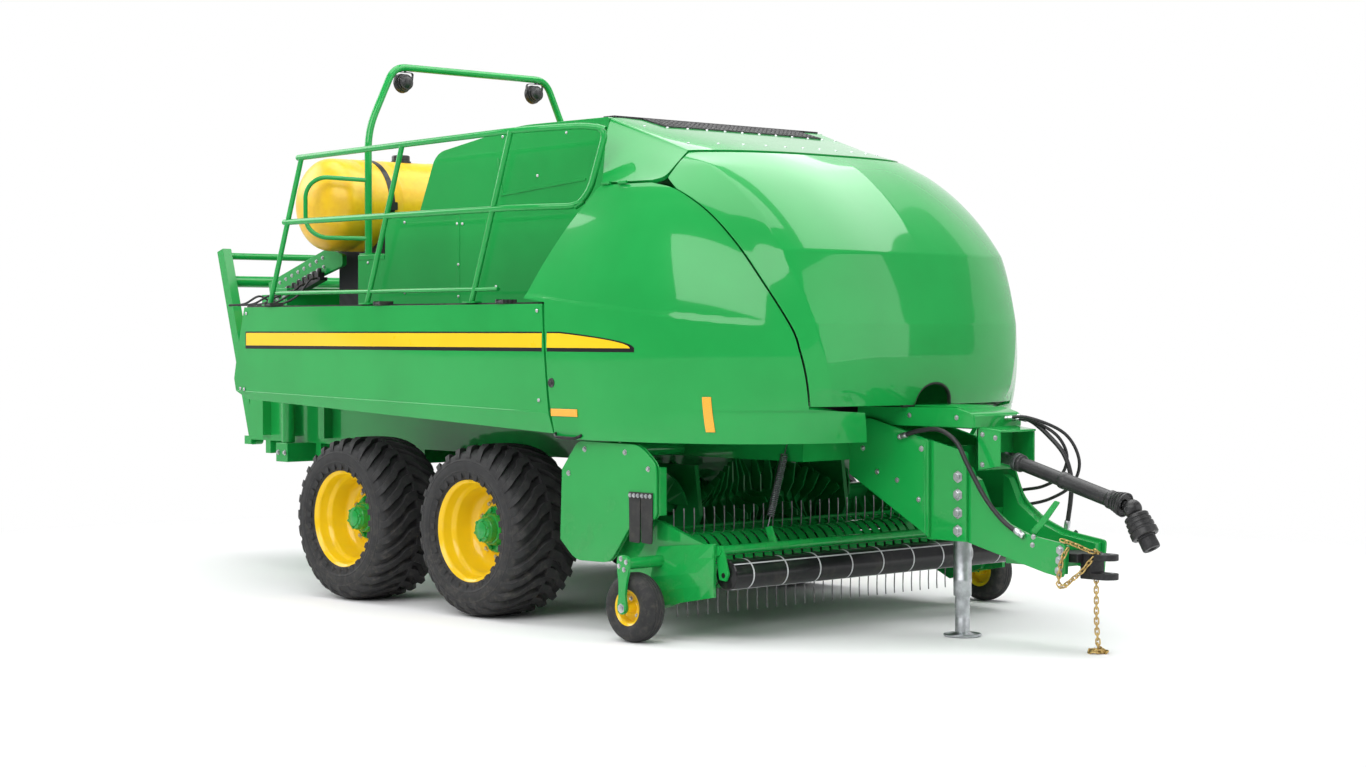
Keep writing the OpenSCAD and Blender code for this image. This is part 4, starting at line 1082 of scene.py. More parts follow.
# %% Work lamps
lens_glass = Finish("lamp_lens")
flutes = lens_glass.node("TexWave", {"bands_direction": "Y"},
                         {"Vector": lens_glass.place(), "Scale": 28.0, "Distortion": 0.4})
lens_tone = lens_glass.mix(flutes, rgb(0.62, 0.64, 0.66), rgb(0.82, 0.84, 0.86))
lens_finish = lens_glass.shade(Base_Color=lens_tone, Roughness=flutes * 0.1 + 0.08, Metallic=0.35,
                               Normal=lens_glass.bump(flutes, 0.4, 0.002))
housing_line = [[0, -66], [20, -66], [34, -58], [44, -44], [52, -42], [52, -36], [47, -34], [47, -28],
                [56, -26], [56, -20], [51, -18], [51, -12], [60, -8], [65, 6], [65, 22], [62, 26],
                [57, 26], [56, 20], [0, 20]]
for side, s in (("right", -1), ("left", 1)):
    centre = np.array([HOOP_X - 22, s * 560, 3330.0])
    look = unit([-1.0, 0.0, -0.12])
    body = Shape().add(*turned(housing_line, centre, look, 40))
    yoke = rounded([[HOOP_X - 22, s * 560 - 70, 3330], [HOOP_X - 8, s * 560 - 70, 3398],
                    [HOOP_X, s * 560, 3400], [HOOP_X - 8, s * 560 + 70, 3398],
                    [HOOP_X - 22, s * 560 + 70, 3330]], [18, 14, 18], 6)
    body.add(*carry(yoke, [[-9, -2], [9, -2], [9, 2], [-9, 2]], side=(1, 0, 0)))
    body.add(*tube([[HOOP_X, s * 560, 3396], [HOOP_X, s * 560, 3412]], 9, 10))
    make("work_lamp_" + side, body, black_plastic, "chassis", ["lamps"], angle=35)
    lens = through([[0, 31], [20, 30.4], [40, 28], [54, 23.5], [57.5, 21]], 4)
    make("work_lens_" + side, Shape().add(*turned(lens[::-1], centre, look, 40)), lens_finish, "chassis",
         angle=60)

# %% [markdown]
# The yellow cross tank is blow-moulded: a barrel with domed ends and a moulded seam round its
# middle. Two straps hold it in its cradle and a screw cap stands on top. A turned profile makes
# the barrel, and the straps are flat sections carried round it.

# %% Tank
TANK = np.array([-1620.0, 0.0, 2530.0])
end = through([[0, 1000], [70, 997], [150, 985], [215, 962], [262, 930], [294, 892], [308, 850],
               [310, 800]], 5)
ribs = np.array([[310, 720], [306, 712], [306, 690], [310, 682], [310, 470], [306, 462], [306, 440],
                 [310, 432], [310, 40], [313.5, 22], [313.5, 0]])
half_tank = np.concatenate([end, ribs])
tank_line = np.concatenate([half_tank, half_tank[-2::-1] * [1, -1]])
tank = Shape().add(*turned(tank_line, TANK, (0, 1, 0), 72))
make("tank_barrel", tank, tank_plastic, "chassis", ["tank"], angle=40)
straps = Shape()
for s in (-1, 1):
    a = np.linspace(0, 2 * np.pi, 72, endpoint=False)
    loop = TANK + np.stack([311.5 * np.cos(a), 0 * a + s * 550, 311.5 * np.sin(a)], -1)
    straps.add(*carry(loop, [[-22, -1.5], [22, -1.5], [22, 1.5], [-22, 1.5]], side=(0, 1, 0),
                      closed=True))
    straps.add(*plate(rounded_box(70, 54, 8), TANK + [311, s * 550, -10], (0, 1, 0), (0, 0, 1), 14))
make("tank_straps", straps, dark_paint, "chassis", angle=40)
cap_line = [[0, 58], [52, 58], [60, 54], [62, 46], [62, 20], [70, 16], [72, -12], [0, -12]]
cap = Shape().add(*turned(cap_line, TANK + [0, -250, 300], (0, 0, 1), 40))
make("tank_cap", cap, black_plastic, "chassis", angle=35)

# %% [markdown]
# The drive shaft runs inside a black plastic guard: two telescoping tubes with collars, a ribbed
# bell at the joint, and a hinged end piece that couples to the tractor. Each is a turned profile
# along its own axis, with the ribs drawn in the profile.

# %% Drive shaft
SHAFT_A, SHAFT_B = np.array([3580.0, 0, 981]), np.array([4350.0, 0, 769])
SHAFT_AXIS = unit(SHAFT_B - SHAFT_A)
ears = Shape()
for s in (-1, 1):
    outline_xz = [[3485, 985], [3485, 1015], [3500, 1026], [3530, 1024], [3600, 1004], [3592, 957],
                  [3500, 974]]
    ears.add(*plate(outline_xz, [0, s * 38 + 6, 0], (1, 0, 0), (0, 0, 1), 12))
ears.add(*turned([[0, -4], [47, -4], [50, 0], [50, 22], [40, 30], [0, 30]], SHAFT_A, SHAFT_AXIS, 36))
make("shaft_fork", ears, spring_steel, "pto", angle=35)
guard = [[30, 18], [46, 20], [48, 26], [48, 44], [45, 50], [39, 54], [38, 60], [38, 318], [44, 322],
         [46, 330], [46, 352], [44, 358], [43, 364], [43, 640], [47, 646], [50, 652], [50, 668],
         [47, 674], [52, 684], [54, 690], [50, 696], [57, 704], [59, 710], [54, 716], [62, 724],
         [64, 730], [60, 737], [66, 744], [66, 752], [61, 754], [55, 746], [30, 742]]
make("shaft_guard", Shape().add(*turned(guard, SHAFT_A, SHAFT_AXIS, 48)), black_plastic, "pto",
     ["pto_shaft"], angle=30)
cross = Shape().add(*tube([SHAFT_B - SHAFT_AXIS * 70, SHAFT_B - SHAFT_AXIS * 2], 22, 20, side=(0, 1, 0)))
cross.add(*tube([[4350, -48, 765], [4350, 48, 765]], 14, 20, side=(1, 0, 0)))
make("shaft_cross", cross, chrome, "pto", angle=35)
END_A, END_B = np.array([4350.0, 0, 765]), np.array([4475.0, 0, 563])
END_AXIS = unit(END_B - END_A)
turn = np.radians(np.linspace(35, 128, 16))
ball = np.stack([50 * np.sin(turn), -50 * np.cos(turn)], -1)
bell = [[46, 34], [60, 40], [66, 46], [66, 58], [62, 62], [62, 68], [69, 72], [69, 84], [65, 88],
        [65, 94], [72, 98], [72, 112], [68, 116], [68, 122], [74.5, 128], [74.5, 156], [70, 162],
        [60, 164], [52, 164], [52, 138], [48, 134]]
end_piece = Shape().add(*turned(np.concatenate([ball, bell]), END_A, END_AXIS, 48))
make("shaft_end_bell", end_piece, black_plastic, "pto_end", ["pto_yoke"], angle=30)
yoke_line = [[22.3, 130], [46, 130], [47, 166], [44, 172], [47, 176], [47, 200], [48, 204], [48, 228],
             [45, 236], [24, 237], [22.3, 234], [22.3, 130]]
yoke = Shape().add(*turned(yoke_line, END_A, END_AXIS, 40))
make("shaft_end_yoke", yoke, cast_black, "pto_end", angle=35)

# %% [markdown]
# Hydraulic hoses leave the covers and hang along the tongue. A hose is a round section carried
# along a smooth line through a few points, with a swaged steel fitting at each end.

# %% Hoses
HOSES = {
    "near": ([[2950, -240, 1100], [3100, -247, 1138], [3250, -250, 1148], [3372, -250, 1085],
              [3450, -248, 965], [3560, -230, 790], [3670, -206, 668], [3790, -194.5, 600]], 26),
    "far": ([[3450.3, 170, 1215], [3540, 184, 1192], [3650, 190, 1118], [3755, 191, 1020],
             [3802, 193, 900], [3800, 194.2, 780], [3770, 194.3, 600]], 26),
    "loop": ([[3452, 120, 1205], [3560, 160, 1196], [3680, 222, 1120], [3730, 250, 1010],
              [3690, 252, 900], [3590, 226, 838], [3480, 200, 815], [3380, 196, 800]], 18),
    "bend": ([[3452, 60, 1210], [3570, 120, 1214], [3720, 240, 1130], [3790, 280, 985],
              [3740, 284, 850], [3620, 250, 770], [3500, 210, 735], [3390, 196, 720]], 18),
}


def swage(at, along, radius, length):
    """Crimped steel ferrule in two steps, turned round a hose end."""
    wide, slim = radius * 1.18, radius * 1.05
    profile = [[0, -2], [radius, -2], [wide, 2], [wide, length * 0.25], [slim, length * 0.3],
               [slim, length * 0.36], [wide, length * 0.42], [wide, length * 0.9], [slim, length],
               [0, length]]
    return turned(profile, at, along, 24)


for key, (points, wide) in HOSES.items():
    line = through(points, 8)
    hose = make("hose_%s_dressed" % key, Shape().add(*tube(line, wide / 2, 16)), hose_rubber, "chassis",
                ["hose_" + key] if key in ("near", "far") else [], angle=60)
    ends = Shape()
    for at, towards in ((line[0], line[1] - line[0]), (line[-1], line[-2] - line[-1])):
        ends.add(*swage(at, towards, wide / 2 * 1.08, wide * 2.4))
    ferrule = make("hose_%s_fittings" % key, ends, zinc, "chassis", angle=30)

# %% [markdown]
# The machine stands on a jack under the tongue: a galvanised tube, an inner leg with a worn ring,
# and a round pressed foot. The outer tube keeps to the frame and the leg slides.

# %% Parking jack
JACK = np.array([3205.0, 0.0, 0.0])
outer = [[42, 226], [48, 225], [50, 228], [50, 300], [51.2, 302], [51.2, 318], [50, 320], [50, 530],
         [50, 920], [48, 925], [42, 925]]
make("jack_outer", Shape().add(*turned(outer, JACK, (0, 0, 1), 48)), jack_zinc, "chassis", ["jack_tube"],
     angle=35)
inner = [[0, 18], [36, 18], [41, 22], [41, 96], [40.2, 98], [40.2, 128], [41, 130], [41, 434], [0, 434]]
foot = [[0, 0.4], [92, 0.4], [100, 2], [104.5, 7], [105, 12], [102, 16], [97, 17], [88, 12], [60, 14],
        [46, 22], [41, 26]]
leg = Shape().add(*turned(inner, JACK, (0, 0, 1), 48)).add(*turned(foot, JACK, (0, 0, 1), 64))
make("jack_leg_dressed", leg, jack_zinc, "jack", ["jack_leg"], angle=35)

# %% [markdown]
# A safety chain hangs from the hitch and lies in a small heap. One link is a round bar bent to a
# long ring. Links sit at even steps along a path, each turned a quarter against the last, which
# is how a chain passes its load round a corner.

# %% Safety chain
LINK_STEP, LINK_BAR = 27.0, 4.2


def link():
    """A round bar carried round a stadium: two straights joined by half circles, lying in x and z."""
    a = np.linspace(-np.pi / 2, np.pi / 2, 7)
    bend = np.stack([10.5 * np.cos(a), 0 * a, 10.5 * np.sin(a)], -1)
    top = bend[:, [2, 1, 0]] + [0, 0, 9.0]
    return carry(np.concatenate([top, -top]), ring(LINK_BAR, 7), side=(0, 1, 0), closed=True)


def spaced(points, gap):
    """Points and directions at an even gap along a line."""
    far = np.concatenate([[0], np.cumsum(np.linalg.norm(np.diff(points, axis=0), axis=-1))])
    at = np.arange(0, far[-1], gap)
    spots = np.stack([np.interp(at, far, points[:, k]) for k in range(3)], -1)
    return spots, unit(np.gradient(spots, axis=0))


turns = np.linspace(0, 4.3 * np.pi, 60)
reach, angle = 50 - 3.1 * turns, turns + 0.4
heap = np.stack([4160 + reach * np.cos(angle), -46 + reach * np.sin(angle), 10 + 0.9 * turns], -1)
hang = through([[4150, -40, 386], [4152, -41, 280], [4157, -44, 150], [4170, -50, 60],
                heap[-1] + [0, 0, 6]], 10)
chain_line = np.concatenate([hang[:-1], heap[::-1]])
spots, way = spaced(chain_line, LINK_STEP)
turn = (np.arange(len(spots)) % 2 == 0)[:, None]
across = np.where(turn, [[0.86, 0.5, 0.05]], [[-0.5, 0.86, 0.05]])
lying = np.where(np.abs(way[:, 2:]) < 0.5, [[0, 0, 1.0]], [[0, 0, 0.0]])
across = across + lying * np.where(turn, 1.0, 0.2)
chain = Shape().add(*scatter(link(), spots, way, across))
make("chain_links", chain, gold_zinc, "chassis", ["safety_chain"], angle=60)
print("chain of", len(spots), "links")

# %% [markdown]
# Bolts hold the tongue together and give it scale: four large ones join the goose neck to the
# upright channel, three hold the drawbar eye, and small ones dot the side plates.

# %% Tongue bolts
TONGUE_BOLTS = [(3342, 895, 38, 201), (3342, 798, 38, 201), (3342, 700, 38, 201), (3342, 602, 38, 201),
                (4022, 540, 30, 181), (4018, 486, 30, 181), (4014, 432, 30, 181), (3845, 600, 18, 181),
                (3839, 556, 18, 181), (2666, 1029, 20, 225), (2773, 900, 18, 225), (2922, 860, 18, 225),
                (3080, 760, 18, 225), (3100, 1040, 20, 225)]
bolts = Shape()
for s in (-1, 1):
    for x, z, wide, y in TONGUE_BOLTS:
        bolts.add(*scatter(hex_bolt(wide, wide * 0.55), [[x, s * y, z]], (0, s, 0)))
make("tongue_bolts", bolts, zinc, "chassis", angle=30)

# %% [markdown]
# Plate work carries the machine: tongue, guard plates, covers and beams are cut from sheet and
# welded or bolted. A slab is an outline in length and height with a thickness across the
# machine. A small bevel breaks its edges, because a true sharp edge never catches light.

# %% Tongue


def slab(outline, y0, y1):
    """An outline of (length, height) pairs as a plate between two positions across the machine."""
    o = np.asarray(outline, float)
    turn = (o[:, 0] * np.roll(o[:, 1], -1) - np.roll(o[:, 0], -1) * o[:, 1]).sum()
    return plate(o if turn > 0 else o[::-1], [0, max(y0, y1), 0], (1, 0, 0), (0, 0, 1), abs(y1 - y0))


def box(x, y, z):
    """A block given by its limits along each axis."""
    return slab([[x[0], z[0]], [x[1], z[0]], [x[1], z[1]], [x[0], z[1]]], *y)


def soft_line(points, radius, steps=5):
    """An outline of pairs whose inner corners are rounded; its first and last corners stay."""
    flat = np.asarray(points, float)
    return rounded(np.column_stack([flat, 0 * flat[:, 0]]), radius, steps)[:, :2]


NECK_CORE = np.array([[3400, 560], [3400, 900], [3440, 880], [3510, 745], [3640, 652], [3800, 594],
                      [4030, 560], [4020, 410], [3920, 430]])
NECK = soft_line([[3380, 545], [3380, 960], [3425, 950], [3500, 770], [3640, 670], [3800, 610],
                  [4055, 574], [4040, 395], [3920, 415]], [14, 26, 60, 60, 60, 24, 20], 5)
CHEEK = soft_line([[2560, 880], [2560, 1150], [2700, 1205], [3150, 1090], [3150, 560]], [10, 40, 14], 4)
POST = soft_line([[3120, 545], [3120, 1095], [3400, 1030], [3400, 545]], [10, 24], 4)
tongue = Shape()
for s in (-1, 1):
    tongue.add(*slab(CHEEK, s * 200, s * 225))
    tongue.add(*slab(POST, s * 180, s * 201))
    tongue.add(*slab(NECK, s * 165, s * 181))
    tongue.add(*slab(NECK_CORE, s * 110, s * 165))
    tongue.add(*tube([[3128, s * 226, 1080], [3128, s * 226, 575]], 7, 8))
for x, half, z in (((2560, 2600), 201, (900, 1140)), ((3120, 3140), 181, (560, 1050)),
                   ((3380, 3400), 166, (545, 720)), ((3600, 3960), 111, (440, 470))):
    tongue.add(*box(x, (-half, half), z))
collar = turned([[50.5, 545], [72, 545], [74, 550], [74, 576], [70, 582], [50.5, 582], [50.5, 545]],
                [3205, 0, 0], (0, 0, 1), 40)
for x in ((3140, 3160), (3255, 3395)):
    tongue.add(*box(x, (-181, 181), (545, 580)))
tongue.add(*collar)
soften(make("tongue_plates", tongue, green_paint, "chassis", ["tongue"], angle=30), 3)

# %% [markdown]
# A cover hides the gearbox on top of the tongue, and a three-sided shield stands round the joint of
# the drive shaft. Both are slabs with rounded corners, and a stub of the gearbox's shaft shows
# inside the shield.

# %% Gearbox cover
cover = Shape()
cover.add(*slab(soft_line([[2600, 1162], [2600, 1262], [3330, 1268], [3450, 1236], [3450, 1162]],
                          [12, 50, 30], 5), -200, 200))
cover.add(*slab([[2700, 1266], [2712, 1276], [3290, 1276], [3316, 1266]], -150, 150))
wing = soft_line([[3430, 930], [3430, 1170], [3590, 1150], [3590, 960]], [10, 16], 4)
for y in (-150, 138):
    cover.add(*slab(wing, y, y + 12))
cover.add(*slab([[3430, 1158], [3430, 1170], [3596, 1152], [3594, 1140]], -152, 152))
cover.add(*box((3430, 3442), (-150, 150), (930, 1168)))
cover.add(*slab([[3448, 1164], [3448, 1230], [3456, 1228], [3456, 1164]], -196, 196))
soften(make("gearbox_hood", cover, green_paint, "chassis", ["gearbox_cover"], angle=30), 3)
stub = turned([[0, 3436], [46, 3436], [46, 3446], [30, 3450], [26, 3452], [26, 3500], [30, 3502],
               [30, 3514], [0, 3514]], [0, 0, 1000], (1, 0, 0), 32)
cross_pin = tube([[3510, -47, 1000], [3510, 47, 1000]], 14.9, 20, side=(1, 0, 0))
make("drive_stub", Shape().add(*stub).add(*cross_pin), spring_steel, "chassis",
     angle=35)
cover_bolts = Shape()
for s in (-1, 1):
    spots = [[3470, s * 150, 1127], [3560, s * 150, 1112], [3470, s * 150, 965], [3330, s * 200, 1216],
             [2990, s * 200, 1220]]
    cover_bolts.add(*scatter(hex_bolt(17, 9), spots, (0, s, 0)))
make("cover_bolts", cover_bolts, zinc, "chassis", angle=30)

# %% [markdown]
# A black rubber lip seals the gap where the hood meets the gearbox cover, and a flat strap bent
# from bar holds the drive shaft up while no tractor is coupled.

# %% Rubber lip and shaft strap
near = np.abs(hood_skin[0, :, 1]) < 260
lip_line = hood_skin[0 if hood_skin[0, 0, 2] < hood_skin[-1, 0, 2] else -1][near]
lip = Shape().add(*tube(lip_line + [-12, 0, -1], 12, 10, side=(1, 0, 0)))
make("hood_lip", lip, flap_rubber, "hood", angle=60)
holder = slab(soft_line([[3786, 616], [3834, 606], [3912, 690], [3992, 788], [3958, 796], [3872, 700]],
                        [10, 60, 10, 10], 5), -148, -138)
panel = make("shaft_strap", Shape().add(*holder), green_paint, "chassis", ["pto_holder"],
             angle=30)
soften(panel, 3)

# %% [markdown]
# The drawbar clevis is a black casting with two jaws and a bored eye. Rounded outlines and a wide
# bevel give the look of a casting, and a pale ring shows where the hitch pin has worn the eye.

# %% Clevis
clevis = Shape().add(*box((3900, 4080), (-108, 108), (472, 519)))
clevis.add(*slab(soft_line([[4060, 386], [4060, 519], [4128, 519], [4128, 386]], [14, 14], 4), -60, 60))
a = np.linspace(-np.pi / 2, np.pi / 2, 19)
jaw = np.concatenate([[[4120, -60]], np.stack([4190 + 60 * np.cos(a), 60 * np.sin(a)], -1), [[4120, 60]]])
front = np.radians(-120) + np.linspace(0, 4 * np.pi / 3, 21)
rear = np.radians(np.linspace(120, 240, 9))
bore, rear_bore = [np.stack([4190 + 21.2 * np.cos(k), 21.2 * np.sin(k)], -1) for k in (front, rear)]


def jaw_shape(low, high):
    """The jaw's outline joined to its bore by a band of faces, above and below, with both walls."""
    k = len(jaw)
    lines = (jaw, bore[np.linspace(0, 20, k).astype(int)])
    pts = np.concatenate([np.column_stack([p, np.full(k, h)]) for h in (low, high) for p in lines])
    idx = np.arange(k - 1)
    top = np.stack([2 * k + idx, 2 * k + idx + 1, 3 * k + idx + 1, 3 * k + idx], -1)
    base = np.stack([idx, k + idx, k + idx + 1, idx + 1], -1)
    outer = np.stack([idx, idx + 1, 2 * k + idx + 1, 2 * k + idx], -1)
    inner = np.stack([k + idx, 3 * k + idx, 3 * k + idx + 1, k + idx + 1], -1)
    return pts, np.concatenate([top, base, outer, inner])


back = np.concatenate([rear_bore, [[4120, -60], [4120, 60]]])
for low in (386.0, 486.0):
    clevis.add(*jaw_shape(low, low + 33))
    clevis.add(*plate(back, [0, 0, low], (1, 0, 0), (0, 1, 0), 33))
panel = make("clevis_casting", clevis, cast_black, "chassis", ["hitch_clevis"], angle=35)
soften(panel, 5, 3)
rings = Shape()
for z in (420.2, 520.2):
    line = [[22, z - 1], [36, z - 1], [36, z], [22, z], [22, z - 1]]
    rings.add(*turned(line, [4190, 0, 0], (0, 0, 1), 32))
make("clevis_wear_rings", rings, spring_steel, "chassis", angle=35)

# %% [markdown]
# A second piece of chain loops over the clevis and back to the tongue. The same link is set down
# along another line, each one turned a quarter against the last.

# %% Chain round the hitch
hitch_loop = through([[4040, -176, 590], [4070, -150, 578], [4100, -95, 552], [4135, -66, 533],
                      [4160, -40, 528], [4128, -66, 480], [4095, -88, 430], [4062, -130, 386],
                      [4048, -178, 356], [4030, -190, 352], [4022, -192, 384], [4030, -192, 440],
                      [4044, -190, 500], [4060, -170, 545]], 10)
spots, way = spaced(hitch_loop, LINK_STEP)
turn = (np.arange(len(spots)) % 2 == 0)[:, None]
across = np.where(turn, np.cross(way, [[0.3, -0.6, 0.74]]),
                  np.cross(way, np.cross(way, [[0.3, -0.6, 0.74]])))
make("hitch_chain", Shape().add(*scatter(link(), spots, way, across)), gold_zinc, "chassis",
     angle=60)
print("loop of", len(spots), "links")

# %% [markdown]
# Guard plates stand outside the pickup with two rubber flaps each. The flaps are held by a clamp
# strip, with three bolts to a flap.

# %% Guard plates and flaps
GUARD = soft_line([[1360, 900], [1500, 1068], [2016, 1062], [2154, 956], [2154, 660], [1950, 620],
                   [1774, 395], [1475, 391], [1344, 502]], [40, 60, 40, 40, 60, 60, 60], 5)
guards = Shape()
flaps = Shape()
guard_bolts = Shape()
for s in (-1, 1):
    guards.add(*slab(GUARD, s * 1318, s * 1330)).add(*slab(GUARD, s * 1300, s * 1306))
    guards.add(*slab((GUARD - GUARD.mean(0)) * 0.97 + GUARD.mean(0), s * 1305, s * 1319))
    guards.add(*box((2100, 2154), sorted((s * 1250, s * 1301)), (676, 940)))
    for x in (1940, 2038):
        flap = soft_line([[x, 800], [x + 4, 524], [x + 90, 520], [x + 94, 800]], [10, 14], 4)
        flaps.add(*slab(flap, s * 1330.4, s * 1339))
        spots = [[x + k, s * 1343, 782] for k in (16, 48, 80)]
        guard_bolts.add(*scatter(hex_bolt(15, 8), spots, (0, s, 0)))
    flaps.add(*box((1942, 2130), sorted((s * 1338.5, s * 1343)), (768, 796)))
    spots = [[x, s * 1330, z] for x, z in ((1420, 880), (1560, 1020), (1900, 1015), (2090, 930))]
    guard_bolts.add(*scatter(hex_bolt(19, 10), spots, (0, s, 0)))
soften(make("guard_sheets", guards, green_paint, "chassis", ["guard_plates"], angle=30), 3)
soften(make("rubber_flaps", flaps, flap_rubber, "chassis", ["flaps"], angle=30), 2)
make("guard_bolts", guard_bolts, zinc, "chassis", angle=30)

# %% [markdown]
# Each gauge wheel hangs on a fork arm: a flame-cut plate with a round head on the pickup's cross
# tube and another on the axle. Collars and a nut dress the two heads.

# %% Gauge fork arms
ARM = soft_line([[2140, 156], [2116, 156], [2102, 190], [2112, 236], [2118, 330], [2102, 396],
                 [2102, 478], [2198, 478], [2198, 396], [2172, 330], [2168, 236], [2178, 190],
                 [2164, 156], [2141, 156]], [24, 18, 40, 60, 32, 40, 40, 32, 60, 40, 18, 24], 5)
arms = Shape()
arm_nuts = Shape()
for s in (-1, 1):
    out = (0, s, 0)
    arms.add(*slab(ARM, s * 1555, s * 1570))
    arms.add(*tube([[2140, s * 1410, 190], [2140, s * 1556, 190]], 12, 20))
    arms.add(*turned([[0, -18], [43, -18], [46, -12], [46, 2], [41, 5], [0, 5]], [2150, s * 1568, 430],
                     out, 36))
    arms.add(*turned([[0, 0], [30, 0], [30, 3], [27, 5], [0, 5]], [2140, s * 1569, 190], out, 32))
    arm_nuts.add(*scatter(hex_bolt(30, 7), [[2140, s * 1574, 190]], out))
    arm_nuts.add(*scatter(hex_bolt(17, 6), circle_of(4, 31, [2150, s * 1573, 430], 0.4), out))
soften(make("gauge_forks", arms, green_paint, "pickup", ["gauge_arms"], angle=30), 3)
make("gauge_fork_nuts", arm_nuts, zinc, "pickup", angle=30)

# %% [markdown]
# Behind the feed rotor the channel's rear wall rises to the bale chamber's floor, and a trough wraps
# each side auger from behind. Both are bent sheets: a line in the machine's length and height gets
# a small thickness and is drawn out sideways.

# %% Feed channel wall and auger troughs


def bent_sheet(line, y0, y1, depth):
    """A line in X and Z, its copy depth further along the normals, drawn from y0 to y1 as one plate."""
    along = unit(np.gradient(line, axis=0))
    back = line + depth * np.stack([along[:, 1], -along[:, 0]], -1)
    return slab(np.concatenate([line, back[::-1]]), y0, y1)


ROTOR = np.array([1500.0, 680.0])
wall_line = through([[1236, 0, 700], [1222, 0, 780], [1208, 0, 860], [1206, 0, 948]], 6)[:, [0, 2]]
round_back = np.radians(np.linspace(100, 252, 30))
trough_line = ROTOR + 262 * np.stack([np.cos(round_back), np.sin(round_back)], -1)
channel = Shape().add(*bent_sheet(wall_line, -600, 600, 8))
for s in (-1, 1):
    channel.add(*bent_sheet(trough_line, *sorted((s * 634, s * 1172)), 6))
# The sheets take the darker copy of the green enamel.
make("feed_channel_sheets", channel, deep_green, "chassis", angle=30)
print("channel wall and two troughs added")

# %% [markdown]
# Small fittings make a panel read as a real one: amber reflectors, a black lock on each door, a
# grab handle under its edge, and bolts along the shield. A reflector is a patch of the door's own
# surface lifted off it, so it follows the curve.

# %% Reflectors, locks and handles
amber = Finish("amber_reflector")
prisms = amber.node("TexChecker", None, {"Vector": amber.place(), "Scale": 160.0}, "Fac")
amber_tone = amber.mix(prisms, rgb(0.86, 0.33, 0.01), rgb(0.95, 0.44, 0.02))
amber_finish = amber.shade(Base_Color=amber_tone, Roughness=0.16, Coat_Weight=0.6,
                           Normal=amber.bump(prisms, 0.25, 0.001))


def door_patch(x0, x1, z0, z1, lift, depth, rows=6, cols=14):
    """A rectangle of the door's surface, lifted off it and given a depth."""
    x, z = np.meshgrid(np.linspace(x0, x1, cols), np.linspace(z0, z1, rows))
    return thick(body_skin(skin_angle(x, z), z), depth, lift)


for side, way in (("right", 1), ("left", -1)):
    glass = Shape().add(*flip(*door_patch(1346, 1572, 1204, 1246, 7, 7), way))
    glass.add(*flip(*door_patch(2432, 2478, 1140, 1330, 7, 7, 14, 6), way))
    panel = make("reflectors_" + side, glass, amber_finish, "door_" + side, angle=40)
    soften(panel, 2)
    at = body_skin(skin_angle(np.array([1352.0]), np.array([1392.0])), np.array([1392.0]))[0]
    cup = [[0, 6], [8, 6], [10, 5], [11, 3], [21, 3.4], [24, 5], [26, 4], [27, 0], [27, -6], [0, -6]]
    lock = Shape().add(*flip(*turned(cup[::-1], at, (0, -1, 0), 28), way))
    make("door_lock_" + side, lock, black_plastic, "door_" + side, angle=35)
    grip = rounded([[1372, -1352, 1120], [1372, -1392, 1100], [1400, -1404, 1086], [1560, -1404, 1082],
                    [1588, -1392, 1094], [1588, -1352, 1112]], [14, 14, 14, 14], 5)
    handle = Shape().add(*flip(*tube(grip, 9, 12, side=(0, 0, 1)), way))
    make("door_grip_" + side, handle, black_paint, "door_" + side, angle=60)
    studs = [[-1845, -1398, 1305], [-1800, -1399, 1300], [-1770, -1399.5, 1800], [1225, -1399.5, 1800],
             [1240, -1399, 1290]]
    heads = Shape().add(*flip(*scatter(rivet(11), studs, (0, -1, 0)), way))
    make("shield_rivets_" + side, heads, zinc, "shield_" + side, angle=60)
print("door fittings made")

# %% [markdown]
# The upper housing behind the cowl is a folded sheet box with a stepped rear. Its outline is one
# polygon in length and height. Joint strips, a raised wedge and bolts sit on its flanks, as the
# photograph shows.

# %% Upper housing
HOUSING = soft_line([[-1212, 1850], [-1212, 2184], [-914, 2184], [-914, 2445], [-540, 2445], [-372, 2806],
                     [470, 2930], [1280, 2930], [1280, 2815], [1480, 2700], [1480, 1850]],
                    [14, 8, 14, 8, 90, 120, 14, 10, 10], 6)
housing = Shape().add(*slab(HOUSING, -900, 900))
for s in (-1, 1):
    housing.add(*slab([[-160, 1856], [-160, 2440], [-128, 2440], [-128, 1856]], s * 899, s * 903))
    housing.add(*slab([[248, 2738], [286, 2508], [1076, 2570], [1076, 2585], [300, 2526], [264, 2738]],
                      s * 899, s * 905))
    housing.add(*slab([[-1206, 2150], [-1206, 2180], [-918, 2180], [-918, 2150]], s * 899, s * 904))
panel = make("housing_box", housing, green_paint, "chassis", ["upper_housing"], angle=30)
soften(panel, 5, 3)
heads = Shape()
HOUSING_BOLTS = [[632, 2617], [-153, 2354], [-100, 2352], [-141, 2099], [47, 1958], [232, 1957],
                 [-141, 1900], [-700, 1930], [-1100, 1930], [-700, 2380], [900, 2860], [300, 2870],
                 [-1100, 2130]]
for s in (-1, 1):
    heads.add(*scatter(rivet(10), [[x, s * 900.5, z] for x, z in HOUSING_BOLTS], (0, s, 0)))
make("housing_rivets", heads, zinc, "chassis", angle=60)

# %% [markdown]
# A dark mesh lets cooling air out along the front edge of the roof. Real mesh would need thousands
# of holes, so bars in both directions are laid over a black tray, which reads the same.

